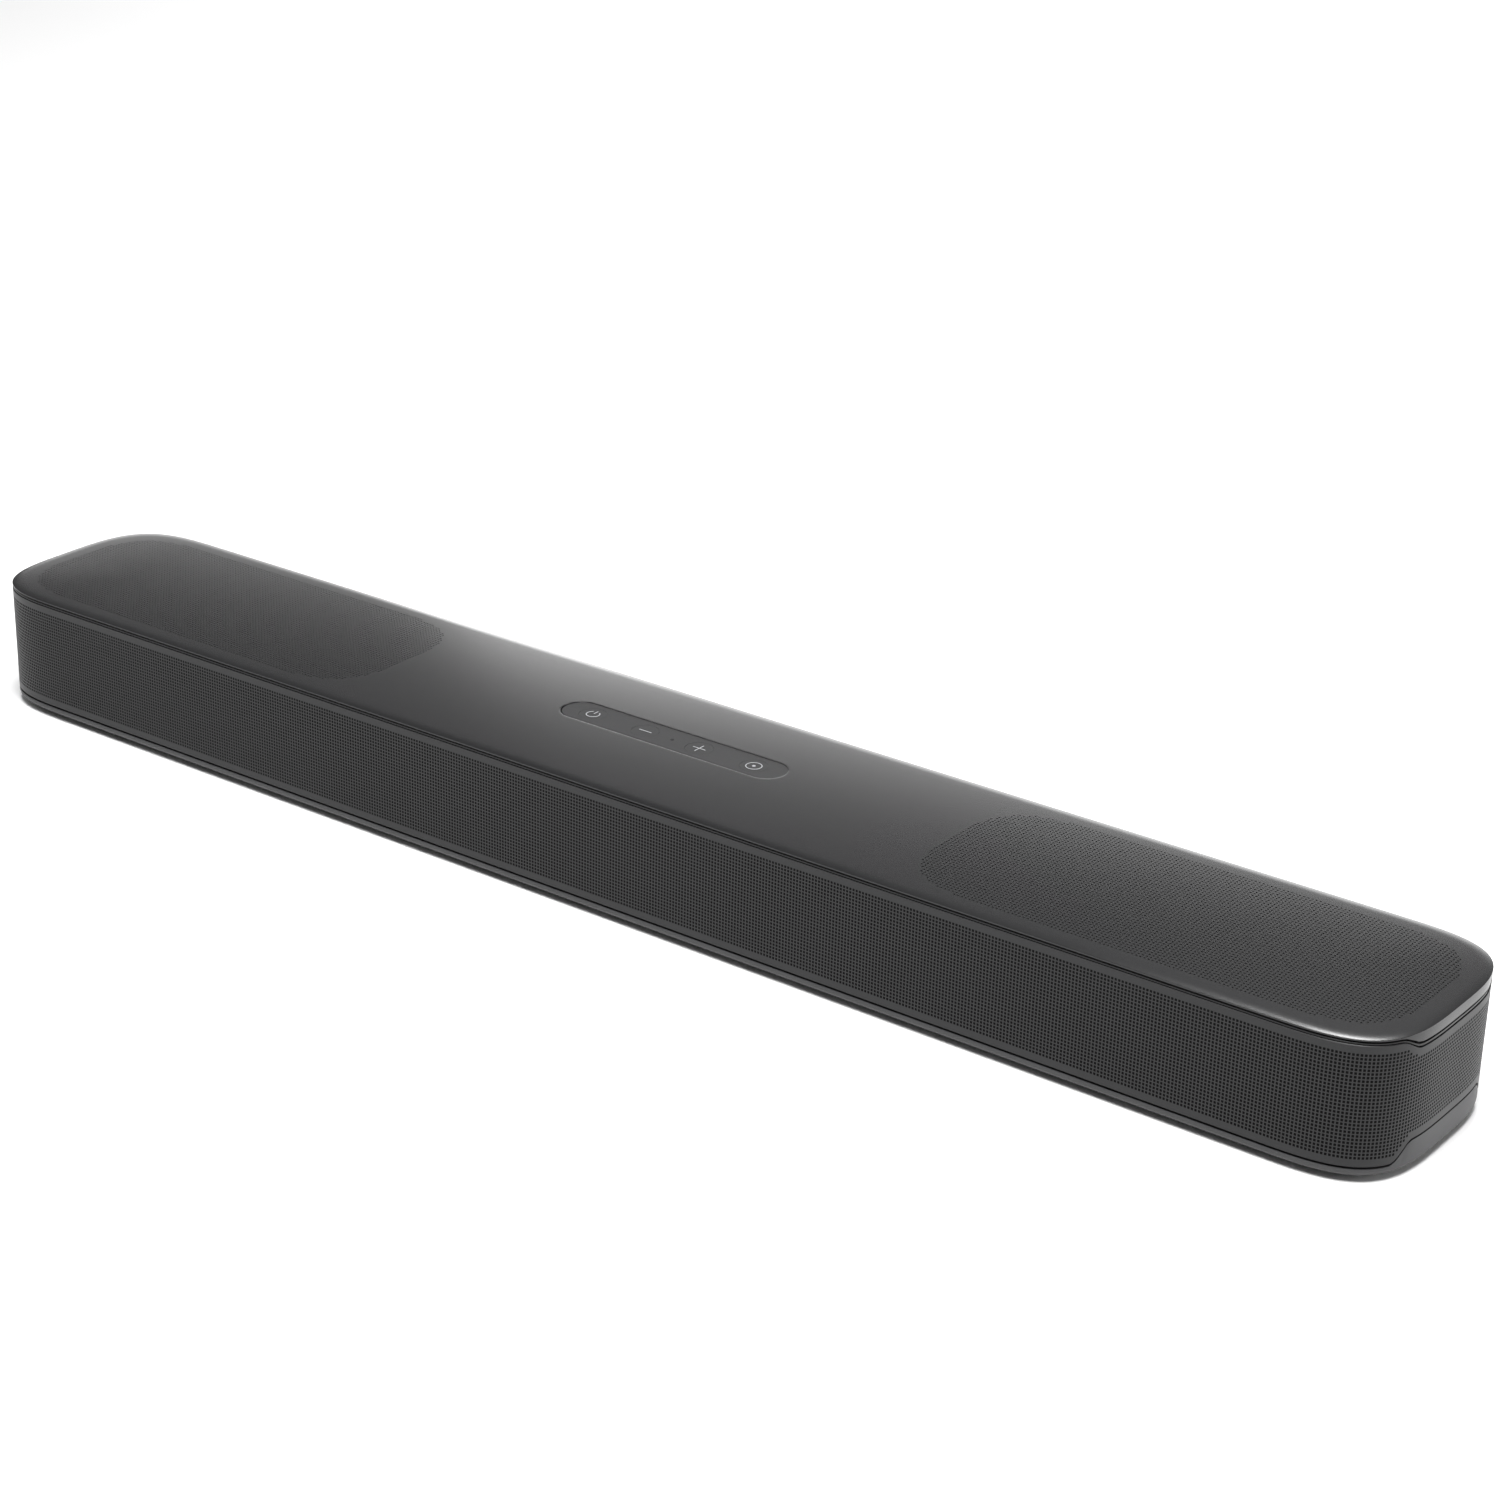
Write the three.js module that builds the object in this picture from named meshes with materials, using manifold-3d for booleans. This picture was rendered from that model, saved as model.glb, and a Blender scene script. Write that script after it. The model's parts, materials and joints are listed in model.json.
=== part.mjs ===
// A compact all-in-one soundbar: a squircle-ended casing with a perforated grille round its front and
// ends, a crowned cover with a recessed key strip, five oval drivers, four passive radiators on two
// sealed chambers, and a bay of sockets at the back.
// Millimetres, +Z up, +X to the right as seen from the front, -Y the front. The origin is the centre
// of the footprint, on the surface that the feet stand on.
import * as THREE from "three";
import { mergeVertices } from "three/addons/utils/BufferGeometryUtils.js";
import Module from "manifold-3d";

const wasm = await Module();
wasm.setup();

// ---------------------------------------------------------------- driving dimensions
// Overall
const LENGTH = 709;
const DEPTH = 101;
const HEIGHT = 58;
const CORNER_LENGTH = 51; // how far each rounded end reaches along the length
const CORNER_POWER = 3.54; // 2 is an ellipse, and more is squarer
const CORNER_STEPS = 9;
const ROUND_STEPS = 20; // sides of the speakers' rings
const GAP = 0.3; // between fixed neighbours

// Casing: the seams run high along the front and back, and step down round the ends
const FOOT_HEIGHT = 2;
const CASE_WALL = 2.4;
const RIM_FRONT = 5.7; // top of the bottom case, above the ground
const RIM_END = 9.3;
const RIM_CURVE_IN = 9.5; // the rim curves in under the casing
const RIM_CURVE_UP = 3.5;
const RIM_CURVE_STEPS = 4;
const COVER_WALL = 2.2;
const COVER_PLATE = 3; // from the crown to the underside
const COVER_LIP_FRONT = 1.5; // from the crown down to the cover's lower edge
const COVER_LIP_END = 6.3;
const COVER_EDGE_RADIUS = 0.6;
const COVER_EDGE_STEPS = 3;
const CROWN = 0.8; // how far the cover falls from its middle to its edge
const CROWN_POWER = 2; // more keeps its middle flatter
const TRIM_HEIGHT = 0.9;
const TRIM_DEPTH = 1.9;
const GRILLE_TOP_GROOVE = 0.7;
const GRILLE_FOOT_GROOVE = 0.8;
const STEP_START = 15; // the seams step between these two distances behind the front face
const STEP_END = 25;

// Grille, cloth and baffle
const GRILLE_WALL = 0.9;
const CLOTH_WALL = 0.4;
const BAFFLE_INSET = 2.8;
const BAFFLE_WALL = 2.5;
const BAFFLE_SET_BACK = 2; // of the baffle's rear edge in front of the grille's
const END_PAD_MARGIN = 1; // the end pads reach this far past the drivers' flanges
const GRILLE_REAR = 12.5; // the grille stops this far in front of the back face

// Drivers
const DRIVER_HEIGHT = 46;
const FRONT_DRIVER_LENGTH = 80;
const END_DRIVER_LENGTH = 56;
const DRIVER_DEPTH = 30;
const DRIVER_FLANGE = 4;
const DRIVER_FLANGE_THICK = 2.5;
const MAGNET_RADIUS = 15;
const SURROUND_WIDTH = 5;
const SURROUND_RISE = 1.8;
const SIDE_DRIVER_X = 105;
const END_DRIVER_SET_BACK = 9; // of an end driver's face behind the end of the casing

// Passive radiators and their chambers
const CHAMBER_WALL = 2.5;
const CHAMBER_TOP = 44;
const CHAMBER_SIDE_ROOM = 9.5; // from the casing's front and back faces to the chamber
const RADIATOR_FRAME = 5;
const RADIATOR_FRAME_THICK = 3;
const RADIATOR_PLATE_THICK = 2.5;
const RADIATOR_PLATE_CHAMFER = 0.5;
const RADIATOR_SURROUND_THICK = 0.8;
const RADIATOR_SPACE = 2;

// Key strip
const STRIP_LENGTH = 113.5;
const STRIP_WIDTH = 18;
const STRIP_Y = 5.7;
const STRIP_RECESS = 0.5;
const STRIP_THICK = 1.8;
const STRIP_FLANGE = 2;
const KEY_RADIUS = 6;
const KEY_FLANGE = 1;
const KEY_TRAVEL = 0.5;
const KEY_PLACES = { power: -41.75, volume_down: -14, volume_up: 14, source: 41.75 };
const LIGHT_RADIUS = 1.2;
const KEY_FLANGE_THICK = 0.6;
const SWITCH_PLAY = 0.1; // left between a key's foot and its switch at the end of its travel
const SWITCH_HALF = 3;
const KEY_BOARD_END_ROOM = 3;

// Perforated zones of the cover
const ZONE_INNER_X = 141;
const ZONE_ROOM = 9; // between the zone and the casing's walls
const ZONE_RELIEF = 0.3;

// Connector bay and boards
const BAY_LENGTH = 186;
const BAY_DEPTH = 28;
const BAY_BOTTOM = 10;
const BAY_TOP = 44;
const BAY_WALL = 2;
const BOARD_THICK = 1.6;
const BOARD_TOP = 15;
const BOARD_END_X = 140;
const BOARD_SPLIT_X = 46;
const BOSS_RADIUS = 3;
const BOSS_ROOT = 1; // how far the bosses are sunk into the floor
const BOARD_SPLIT_GAP = 4; // between the two boards
const INNER_ROOM = 3; // between the speakers, chambers and boards
const JACK_PROUD = 1; // the sockets' mouths stand out of the panel

// Feet and wall-mount inserts
const FOOT_LENGTH = 36;
const FOOT_WIDTH = 10;
const FOOT_RECESS = 1;
const FOOT_END_ROOM = 85;
const FOOT_SIDE_ROOM = 20;
const INSERT_X = 200;
const INSERT_Z = 30;
const INSERT_RADIUS = 4;
const INSERT_BORE = 2.1;
const INSERT_LENGTH = 7;
const INSERT_PAD = 14;

// ---------------------------------------------------------------- derived places
const FRONT_Y = -DEPTH / 2;
const REAR_Y = DEPTH / 2;
const END_X = LENGTH / 2;
const COVER_UNDERSIDE = HEIGHT - COVER_PLATE;
const GRILLE_END_Y = REAR_Y - GRILLE_REAR;
const CASE_FLOOR = FOOT_HEIGHT + CASE_WALL;
const BAFFLE_BACK = BAFFLE_INSET + BAFFLE_WALL;
const DRIVER_Z = (RIM_FRONT + COVER_UNDERSIDE) / 2 - GAP;
const FRONT_DRIVER_Y = FRONT_Y + BAFFLE_BACK + GAP;
const END_DRIVER_X = END_X - END_DRIVER_SET_BACK;
const BAY_PANEL_Y = REAR_Y - BAY_DEPTH;
const CHAMBER_START = SIDE_DRIVER_X + FRONT_DRIVER_LENGTH / 2 + INNER_ROOM;
const CHAMBER_END = END_DRIVER_X - DRIVER_DEPTH - INNER_ROOM;
const CHAMBER_HALF_DEPTH = DEPTH / 2 - CHAMBER_SIDE_ROOM;

// ---------------------------------------------------------------- shapes and solids
// The casing's plan, drawn in by an inset, anticlockwise from the middle of the +X end.
function outline(inset) {
  const reach = CORNER_LENGTH - inset;
  const half = DEPTH / 2 - inset;
  const centre = END_X - CORNER_LENGTH;
  const quarter = [];
  for (let i = 0; i <= CORNER_STEPS; i++) {
    const turn = (i / CORNER_STEPS) * (Math.PI / 2);
    const along = reach * Math.pow(Math.max(Math.cos(turn), 0), 2 / CORNER_POWER);
    const across = half * Math.pow(Math.sin(turn), 2 / CORNER_POWER);
    quarter.push([centre + along, across]);
  }
  const back = [...quarter, ...quarter.map(([x, y]) => [-x, y]).reverse()];
  const front = back.slice(1, -1).map(([x, y]) => [x, -y]);
  return [...back, ...front.reverse()];
}

// How far round a seam has stepped at each point of the plan: 0 along the front, 1 on the ends.
const SEAM_SHARES = outline(0).map(([x, y]) => {
  const behind = DEPTH / 2 - Math.abs(y);
  const share = Math.abs(x) < END_X - CORNER_LENGTH ? 0 : (behind - STEP_START) / (STEP_END - STEP_START);
  return THREE.MathUtils.smoothstep(share, 0, 1);
});

function seam(frontZ, endZ) {
  return SEAM_SHARES.map((share) => THREE.MathUtils.lerp(frontZ, endZ, share));
}

// A ring of points at an inset: z is one height, or a seam's list of heights.
function level(inset, z) {
  return outline(inset).map(([x, y], i) => new THREE.Vector3(x, y, Array.isArray(z) ? z[i] : z));
}

// A ring with straight sides and round ends, which is a circle where length equals width.
function racetrack(length, width, z) {
  const radius = width / 2;
  const straight = (length - width) / 2;
  const points = [];
  for (let i = 0; i < ROUND_STEPS; i++) {
    const turn = ((i + 0.5) / ROUND_STEPS) * 2 * Math.PI;
    const x = radius * Math.cos(turn) + Math.sign(Math.cos(turn)) * straight;
    points.push(new THREE.Vector3(x, radius * Math.sin(turn), z));
  }
  return points;
}

// Skins a row of rings of equally many points. An open row is capped at both ends, and a closed one
// joins its last ring to its first.
function loft(rings, closed = false) {
  const count = rings[0].length;
  const positions = rings.flat().flatMap((p) => [p.x, p.y, p.z]);
  const faces = [];
  const bands = closed ? rings.length : rings.length - 1;
  for (let r = 0; r < bands; r++) {
    const here = r * count;
    const next = ((r + 1) % rings.length) * count;
    for (let i = 0; i < count; i++) {
      const j = (i + 1) % count;
      faces.push(here + i, here + j, next + j, here + i, next + j, next + i);
    }
  }
  if (!closed) {
    const last = (rings.length - 1) * count;
    for (const [a, b, c] of capTriangles(rings[0])) faces.push(a, c, b);
    for (const [a, b, c] of capTriangles(rings[rings.length - 1])) faces.push(last + a, last + b, last + c);
  }
  const geometry = new THREE.BufferGeometry();
  geometry.setAttribute("position", new THREE.Float32BufferAttribute(positions, 3));
  geometry.setIndex(faces);
  return facingOut(geometry);
}

function capTriangles(ring) {
  return THREE.ShapeUtils.triangulateShape(ring.map((p) => new THREE.Vector2(p.x, p.y)), []);
}

// Turns every face round where the skin came out inside out.
function facingOut(geometry) {
  const at = geometry.getAttribute("position");
  const index = geometry.getIndex().array;
  const corner = (i) => new THREE.Vector3().fromBufferAttribute(at, index[i]);
  let volume = 0;
  for (let i = 0; i < index.length; i += 3) volume += corner(i).dot(corner(i + 1).cross(corner(i + 2)));
  if (volume < 0) {
    for (let i = 0; i < index.length; i += 3) [index[i], index[i + 1]] = [index[i + 1], index[i]];
  }
  return geometry;
}

// A closed band that follows the plan between two insets, from one height to another.
function band(outer, inner, low, high) {
  return loft([level(outer, low), level(outer, high), level(inner, high), level(inner, low)], true);
}

function box(x0, x1, y0, y1, z0, z1) {
  return new THREE.BoxGeometry(x1 - x0, y1 - y0, z1 - z0).translate(
    (x0 + x1) / 2,
    (y0 + y1) / 2,
    (z0 + z1) / 2,
  );
}

// An upright round pin between two heights.
function post(x, y, radius, z0, z1, sides = 16) {
  const pin = new THREE.CylinderGeometry(radius, radius, z1 - z0, sides).rotateX(Math.PI / 2);
  return pin.translate(x, y, (z0 + z1) / 2);
}

// A round pin from front to back.
function pinAlong(x, z, radius, y0, y1) {
  return new THREE.CylinderGeometry(radius, radius, y1 - y0, 16).translate(x, (y0 + y1) / 2, z);
}

// An upright stadium between two heights.
function stadium(x, y, length, width, z0, z1) {
  return loft([racetrack(length, width, z0), racetrack(length, width, z1)]).translate(x, y, 0);
}

function solidOf(geometry) {
  const bare = geometry.clone();
  bare.deleteAttribute("normal");
  bare.deleteAttribute("uv");
  const merged = mergeVertices(bare);
  return new wasm.Manifold(
    new wasm.Mesh({
      numProp: 3,
      vertProperties: new Float32Array(merged.getAttribute("position").array),
      triVerts: new Uint32Array(merged.getIndex().array),
    }),
  );
}

function geometryOf(solid) {
  const mesh = solid.getMesh();
  const geometry = new THREE.BufferGeometry();
  geometry.setAttribute("position", new THREE.BufferAttribute(mesh.vertProperties, mesh.numProp));
  geometry.setIndex(new THREE.BufferAttribute(mesh.triVerts, 1));
  return geometry;
}

function join(first, ...others) {
  return geometryOf(others.reduce((made, other) => made.add(solidOf(other)), solidOf(first)));
}

function cut(first, ...tools) {
  return geometryOf(tools.reduce((made, tool) => made.subtract(solidOf(tool)), solidOf(first)));
}

// ---------------------------------------------------------------- the scene graph
const soundbar = new THREE.Group();

const FINISHES = {
  cover: { color: 0x3c3c3d, roughness: 0.42, metalness: 0 },
  strip: { color: 0x333334, roughness: 0.6, metalness: 0 },
  trim: { color: 0x3a3a3b, roughness: 0.35, metalness: 0 },
  grille: { color: 0x303031, roughness: 0.5, metalness: 0.5 },
  cloth: { color: 0x111112, roughness: 0.95, metalness: 0 },
  case: { color: 0x4a4a4b, roughness: 0.5, metalness: 0 },
  inner: { color: 0x1c1c1d, roughness: 0.7, metalness: 0 },
  rubber: { color: 0x161616, roughness: 0.9, metalness: 0 },
  cone: { color: 0x26282b, roughness: 0.6, metalness: 0 },
  steel: { color: 0x8b8d90, roughness: 0.35, metalness: 1 },
  socket: { color: 0xa9abae, roughness: 0.3, metalness: 1 },
  aluminium: { color: 0x9a9c9f, roughness: 0.4, metalness: 1 },
  brass: { color: 0xb08d4c, roughness: 0.35, metalness: 1 },
  copper: { color: 0x9c5a36, roughness: 0.4, metalness: 1 },
  board: { color: 0x1f5135, roughness: 0.5, metalness: 0 },
  light: { color: 0xd8dce0, roughness: 0.3, metalness: 0 },
};

function addPiece(name, finish, geometry, parent = soundbar) {
  const mesh = new THREE.Mesh(geometry, new THREE.MeshStandardMaterial(FINISHES[finish]));
  geometry.computeVertexNormals();
  mesh.name = name;
  parent.add(mesh);
}

// ---------------------------------------------------------------- casing
const COVER_LOW = seam(HEIGHT - COVER_LIP_FRONT, HEIGHT - COVER_LIP_END);
const TRIM_HIGH = COVER_LOW.map((z) => z - GAP);
const TRIM_LOW = TRIM_HIGH.map((z) => z - TRIM_HEIGHT);
const GRILLE_HIGH = TRIM_LOW.map((z) => z - GRILLE_TOP_GROOVE);
const RIM_HIGH = seam(RIM_FRONT, RIM_END);
const GRILLE_LOW = RIM_HIGH.map((z) => z + GRILLE_FOOT_GROOVE);

function boardPlaces() {
  const front = FRONT_DRIVER_Y + DRIVER_DEPTH + INNER_ROOM;
  const back = BAY_PANEL_Y - GAP;
  return {
    main: { x0: -BOARD_END_X, x1: BOARD_SPLIT_X - BOARD_SPLIT_GAP / 2, y0: front, y1: back },
    power: { x0: BOARD_SPLIT_X + BOARD_SPLIT_GAP / 2, x1: BOARD_END_X, y0: front, y1: back },
  };
}

function footPlaces() {
  const x = END_X - FOOT_END_ROOM;
  const y = DEPTH / 2 - FOOT_SIDE_ROOM;
  return { front_left: [-x, -y], front_right: [x, -y], rear_left: [-x, y], rear_right: [x, y] };
}

function bottomCase() {
  const underRim = Array.from({ length: RIM_CURVE_STEPS + 1 }, (_, k) => {
    const turn = (k / RIM_CURVE_STEPS) * (Math.PI / 2);
    const z = FOOT_HEIGHT + RIM_CURVE_UP * (1 - Math.cos(turn));
    return level(RIM_CURVE_IN * (1 - Math.sin(turn)), z);
  });
  const inside = [
    level(CASE_WALL, RIM_HIGH),
    level(CASE_WALL, FOOT_HEIGHT + RIM_CURVE_UP),
    level(RIM_CURVE_IN, CASE_FLOOR),
  ];
  const tray = loft([...underRim, level(0, RIM_HIGH), ...inside]);
  const bosses = Object.values(boardPlaces()).flatMap(({ x0, x1, y0, y1 }) =>
    [x0 + BOSS_RADIUS, x1 - BOSS_RADIUS].flatMap((x) =>
      [y0 + BOSS_RADIUS, y1 - BOSS_RADIUS].map((y) =>
        post(x, y, BOSS_RADIUS, CASE_FLOOR - BOSS_ROOT, BOARD_TOP - BOARD_THICK - GAP, 8),
      ),
    ),
  );
  const recesses = Object.values(footPlaces()).map(([x, y]) =>
    stadium(x, y, FOOT_LENGTH + 2 * GAP, FOOT_WIDTH + 2 * GAP, FOOT_HEIGHT - 1, FOOT_HEIGHT + FOOT_RECESS),
  );
  return cut(join(tray, ...bosses), ...recesses);
}

// Where the crown is drawn, as shares of the way from the edge to the middle.
const CROWN_RINGS = [0.98, 0.6, 0.36, 0.2, 0.08];

function crownAt(inset) {
  return HEIGHT - CROWN * (1 - inset / (DEPTH / 2)) ** CROWN_POWER;
}

// A perforated zone's plan: the casing's own plan drawn in, cut short by the same round end turned
// towards the key strip.
function perforatedZone(side) {
  const plan = loft([level(ZONE_ROOM, HEIGHT - CROWN - ZONE_RELIEF), level(ZONE_ROOM, HEIGHT + 1)]);
  const shifted = plan.clone().translate(side * (END_X - ZONE_ROOM + ZONE_INNER_X), 0, 0);
  return geometryOf(solidOf(plan).intersect(solidOf(shifted)));
}

function topCover() {
  const crown = CROWN_RINGS.map((share) => level((share * DEPTH) / 2, crownAt((share * DEPTH) / 2)));
  const edge = Array.from({ length: COVER_EDGE_STEPS + 1 }, (_, k) => {
    const turn = (k / COVER_EDGE_STEPS) * (Math.PI / 2);
    const z = crownAt(COVER_EDGE_RADIUS) - COVER_EDGE_RADIUS * (1 - Math.cos(turn));
    return level(COVER_EDGE_RADIUS * (1 - Math.sin(turn)), z);
  });
  const underside = [
    level(0, COVER_LOW),
    level(COVER_WALL, COVER_LOW),
    level(COVER_WALL + GAP, COVER_UNDERSIDE),
  ];
  const slot = stadium(0, STRIP_Y, STRIP_LENGTH, STRIP_WIDTH, COVER_UNDERSIDE - 1, HEIGHT + 1);
  return cut(loft([...crown, ...edge, ...underside]), slot, perforatedZone(1), perforatedZone(-1));
}

// Keeps what lies in front of a plane across the casing, or what lies behind it.
function frontOf(geometry, y) {
  return cut(geometry, box(-LENGTH, LENGTH, y, DEPTH, -HEIGHT, 2 * HEIGHT));
}

function behind(geometry, y) {
  return cut(geometry, box(-LENGTH, LENGTH, -DEPTH, y, -HEIGHT, 2 * HEIGHT));
}

function window(x, z, length, height) {
  const outlineOf = (y) => racetrack(length, height, y);
  return loft([outlineOf(-DEPTH), outlineOf(DEPTH)]).rotateX(Math.PI / 2).translate(x, 0, z);
}

function speakerBaffle() {
  const low = RIM_FRONT + GAP;
  const hoop = band(BAFFLE_INSET, BAFFLE_BACK, low, COVER_UNDERSIDE - GAP);
  const wall = frontOf(hoop, GRILLE_END_Y - BAFFLE_SET_BACK);
  const padX = END_DRIVER_X + GAP;
  const padHalf = END_DRIVER_LENGTH / 2 + END_PAD_MARGIN;
  const padTop = COVER_UNDERSIDE - GAP;
  const padFace = BAFFLE_INSET + GAP / 3; // a little inside the wall that the pads join
  const plan = loft([level(padFace, low), level(padFace, padTop)]);
  const pads = [-1, 1].map((side) => {
    const pad = box(padX, END_X, -padHalf, padHalf, low, padTop);
    if (side < 0) pad.rotateZ(Math.PI);
    return geometryOf(solidOf(pad).intersect(solidOf(plan)));
  });
  const opening = DRIVER_HEIGHT - 2 * DRIVER_FLANGE;
  const frontWindows = [-SIDE_DRIVER_X, 0, SIDE_DRIVER_X].map((x) => {
    const hole = window(x, DRIVER_Z, FRONT_DRIVER_LENGTH - 2 * DRIVER_FLANGE, opening);
    return frontOf(hole, 0);
  });
  const endHole = window(0, DRIVER_Z, END_DRIVER_LENGTH - 2 * DRIVER_FLANGE, opening).rotateZ(Math.PI / 2);
  const endWindows = [-1, 1].map((side) => endHole.clone().translate(side * END_X, 0, 0));
  return cut(join(wall, ...pads), ...frontWindows, ...endWindows);
}

function rearWall() {
  const wall = behind(band(0, CASE_WALL, RIM_FRONT + GAP, TRIM_LOW.map((z) => z - GAP)), GRILLE_END_Y + GAP);
  const pads = [-INSERT_X, INSERT_X].map((x) =>
    box(
      x - INSERT_PAD / 2,
      x + INSERT_PAD / 2,
      REAR_Y - INSERT_LENGTH + GAP,
      REAR_Y - CASE_WALL / 2,
      INSERT_Z - INSERT_PAD / 2,
      INSERT_Z + INSERT_PAD / 2,
    ),
  );
  const half = BAY_LENGTH / 2 + GAP;
  const bayHole = box(-half, half, 0, DEPTH, BAY_BOTTOM - GAP, BAY_TOP + GAP);
  const bores = [-INSERT_X, INSERT_X].map((x) => pinAlong(x, INSERT_Z, INSERT_RADIUS + GAP, 0, DEPTH));
  return cut(join(wall, ...pads), bayHole, ...bores);
}

addPiece("bottom_case", "case", bottomCase());
addPiece("top_cover", "cover", topCover());
addPiece("front_grille", "grille", frontOf(band(0, GRILLE_WALL, GRILLE_LOW, GRILLE_HIGH), GRILLE_END_Y));
addPiece(
  "grille_cloth",
  "cloth",
  frontOf(
    band(
      GRILLE_WALL + GAP,
      GRILLE_WALL + GAP + CLOTH_WALL,
      GRILLE_LOW.map((z) => z + GAP),
      GRILLE_HIGH.map((z) => z - GAP),
    ),
    GRILLE_END_Y - GAP,
  ),
);
addPiece("trim_strip", "trim", band(GAP / 2, TRIM_DEPTH, TRIM_LOW, TRIM_HIGH));
addPiece("speaker_baffle", "inner", speakerBaffle());
addPiece("rear_wall", "case", rearWall());

for (const [place, [x, y]] of Object.entries(footPlaces())) {
  const top = FOOT_HEIGHT + FOOT_RECESS - GAP;
  addPiece(`foot_${place}`, "rubber", stadium(x, y, FOOT_LENGTH, FOOT_WIDTH, 0, top));
}

for (const [side, x] of [["left", -INSERT_X], ["right", INSERT_X]]) {
  const tube = loft(
    [
      racetrack(2 * INSERT_RADIUS, 2 * INSERT_RADIUS, 0),
      racetrack(2 * INSERT_RADIUS, 2 * INSERT_RADIUS, INSERT_LENGTH),
      racetrack(2 * INSERT_BORE, 2 * INSERT_BORE, INSERT_LENGTH),
      racetrack(2 * INSERT_BORE, 2 * INSERT_BORE, 0),
    ],
    true,
  );
  const placed = tube.rotateX(Math.PI / 2).translate(x, REAR_Y - GAP, INSERT_Z);
  addPiece(`wall_insert_${side}`, "brass", placed);
}

// ---------------------------------------------------------------- key strip
const STRIP_TOP = HEIGHT - STRIP_RECESS;
const STRIP_LOW = COVER_UNDERSIDE - GAP;
const STRIP_BOTTOM = STRIP_LOW - STRIP_THICK;
const KEY_BOTTOM = STRIP_BOTTOM - GAP;
const KEY_FOOT = KEY_BOTTOM - KEY_FLANGE_THICK;
const SWITCH_TOP = KEY_FOOT - KEY_TRAVEL - SWITCH_PLAY;
const SWITCH_HEIGHT = 1.2;

function keypadStrip() {
  const face = stadium(0, STRIP_Y, STRIP_LENGTH - 2 * GAP, STRIP_WIDTH - 2 * GAP, STRIP_BOTTOM, STRIP_TOP);
  const flange = stadium(
    0,
    STRIP_Y,
    STRIP_LENGTH + 2 * STRIP_FLANGE,
    STRIP_WIDTH + 2 * STRIP_FLANGE,
    STRIP_BOTTOM,
    STRIP_LOW,
  );
  const holes = Object.values(KEY_PLACES).map((x) =>
    post(x, STRIP_Y, KEY_RADIUS + GAP, STRIP_BOTTOM - 1, STRIP_TOP + 1),
  );
  const lightHole = post(0, STRIP_Y, LIGHT_RADIUS + GAP, STRIP_BOTTOM - 1, STRIP_TOP + 1, 12);
  return cut(join(face, flange), ...holes, lightHole);
}

function keyCap(x) {
  const head = post(x, STRIP_Y, KEY_RADIUS, KEY_FOOT, STRIP_TOP);
  return join(head, post(x, STRIP_Y, KEY_RADIUS + KEY_FLANGE, KEY_FOOT, KEY_BOTTOM));
}

function keyBoard() {
  const low = SWITCH_TOP - SWITCH_HEIGHT - BOARD_THICK;
  const half = STRIP_LENGTH / 2 - KEY_BOARD_END_ROOM;
  const front = STRIP_Y - STRIP_WIDTH / 2;
  const board = box(-half, half, front, front + STRIP_WIDTH, low, low + BOARD_THICK);
  const switches = Object.values(KEY_PLACES).map((x) =>
    box(
      x - SWITCH_HALF,
      x + SWITCH_HALF,
      STRIP_Y - SWITCH_HALF,
      STRIP_Y + SWITCH_HALF,
      low + BOARD_THICK / 2,
      SWITCH_TOP,
    ),
  );
  return join(board, ...switches);
}

addPiece("keypad_strip", "strip", keypadStrip());
for (const [name, x] of Object.entries(KEY_PLACES)) addPiece(`key_${name}`, "strip", keyCap(x));
addPiece(
  "status_light",
  "light",
  post(0, STRIP_Y, LIGHT_RADIUS, SWITCH_TOP - SWITCH_HEIGHT + GAP, STRIP_TOP - GAP, 12),
);
addPiece("key_board", "board", keyBoard());

// ---------------------------------------------------------------- drivers
// A driver faces along its own +Z, with its flange's front face at z = 0.
const ROOM = 2 * DRIVER_FLANGE;
const LEDGE_DEPTH = 2;
const CONE_DEPTH = 8;
const CONE_WALL = 1.2;
const COIL_RADIUS = 8;
const COIL_DEPTH = 13;
const BOWL_DEPTH = 17;
const BOWL_FLOOR_SHARE = 0.5;
const BASKET_WALL = 1.6;
const LEDGE_WIDTH = 3; // carries the surround's outer edge
const MAGNET_STEP = 0.5;
const CAP_RISE = 3; // the dust cap stands this far above the coil
const CONE_RIM_THICK = 1;
const CONE_RIM_WIDTH = 1;
const CONE_RIM_LIFT = 0.6;
const SURROUND_THICK = 0.7;

function basket(length) {
  const height = DRIVER_HEIGHT;
  const floorLength = length * BOWL_FLOOR_SHARE;
  const floorHeight = height * BOWL_FLOOR_SHARE;
  return loft([
    racetrack(floorLength, floorHeight, -BOWL_DEPTH),
    racetrack(length - ROOM - 2 * LEDGE_WIDTH, height - ROOM - 2 * LEDGE_WIDTH, -LEDGE_DEPTH),
    racetrack(length - ROOM, height - ROOM, -LEDGE_DEPTH),
    racetrack(length - ROOM, height - ROOM, 0),
    racetrack(length, height, 0),
    racetrack(length, height, -DRIVER_FLANGE_THICK),
    racetrack(length - ROOM, height - ROOM, -DRIVER_FLANGE_THICK - 1),
    racetrack(floorLength + 2 * BASKET_WALL, floorHeight + 2 * BASKET_WALL, -BOWL_DEPTH - BASKET_WALL),
    racetrack(2 * MAGNET_RADIUS, 2 * MAGNET_RADIUS, -BOWL_DEPTH - BASKET_WALL - MAGNET_STEP),
    racetrack(2 * MAGNET_RADIUS, 2 * MAGNET_RADIUS, -DRIVER_DEPTH),
  ]);
}

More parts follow.
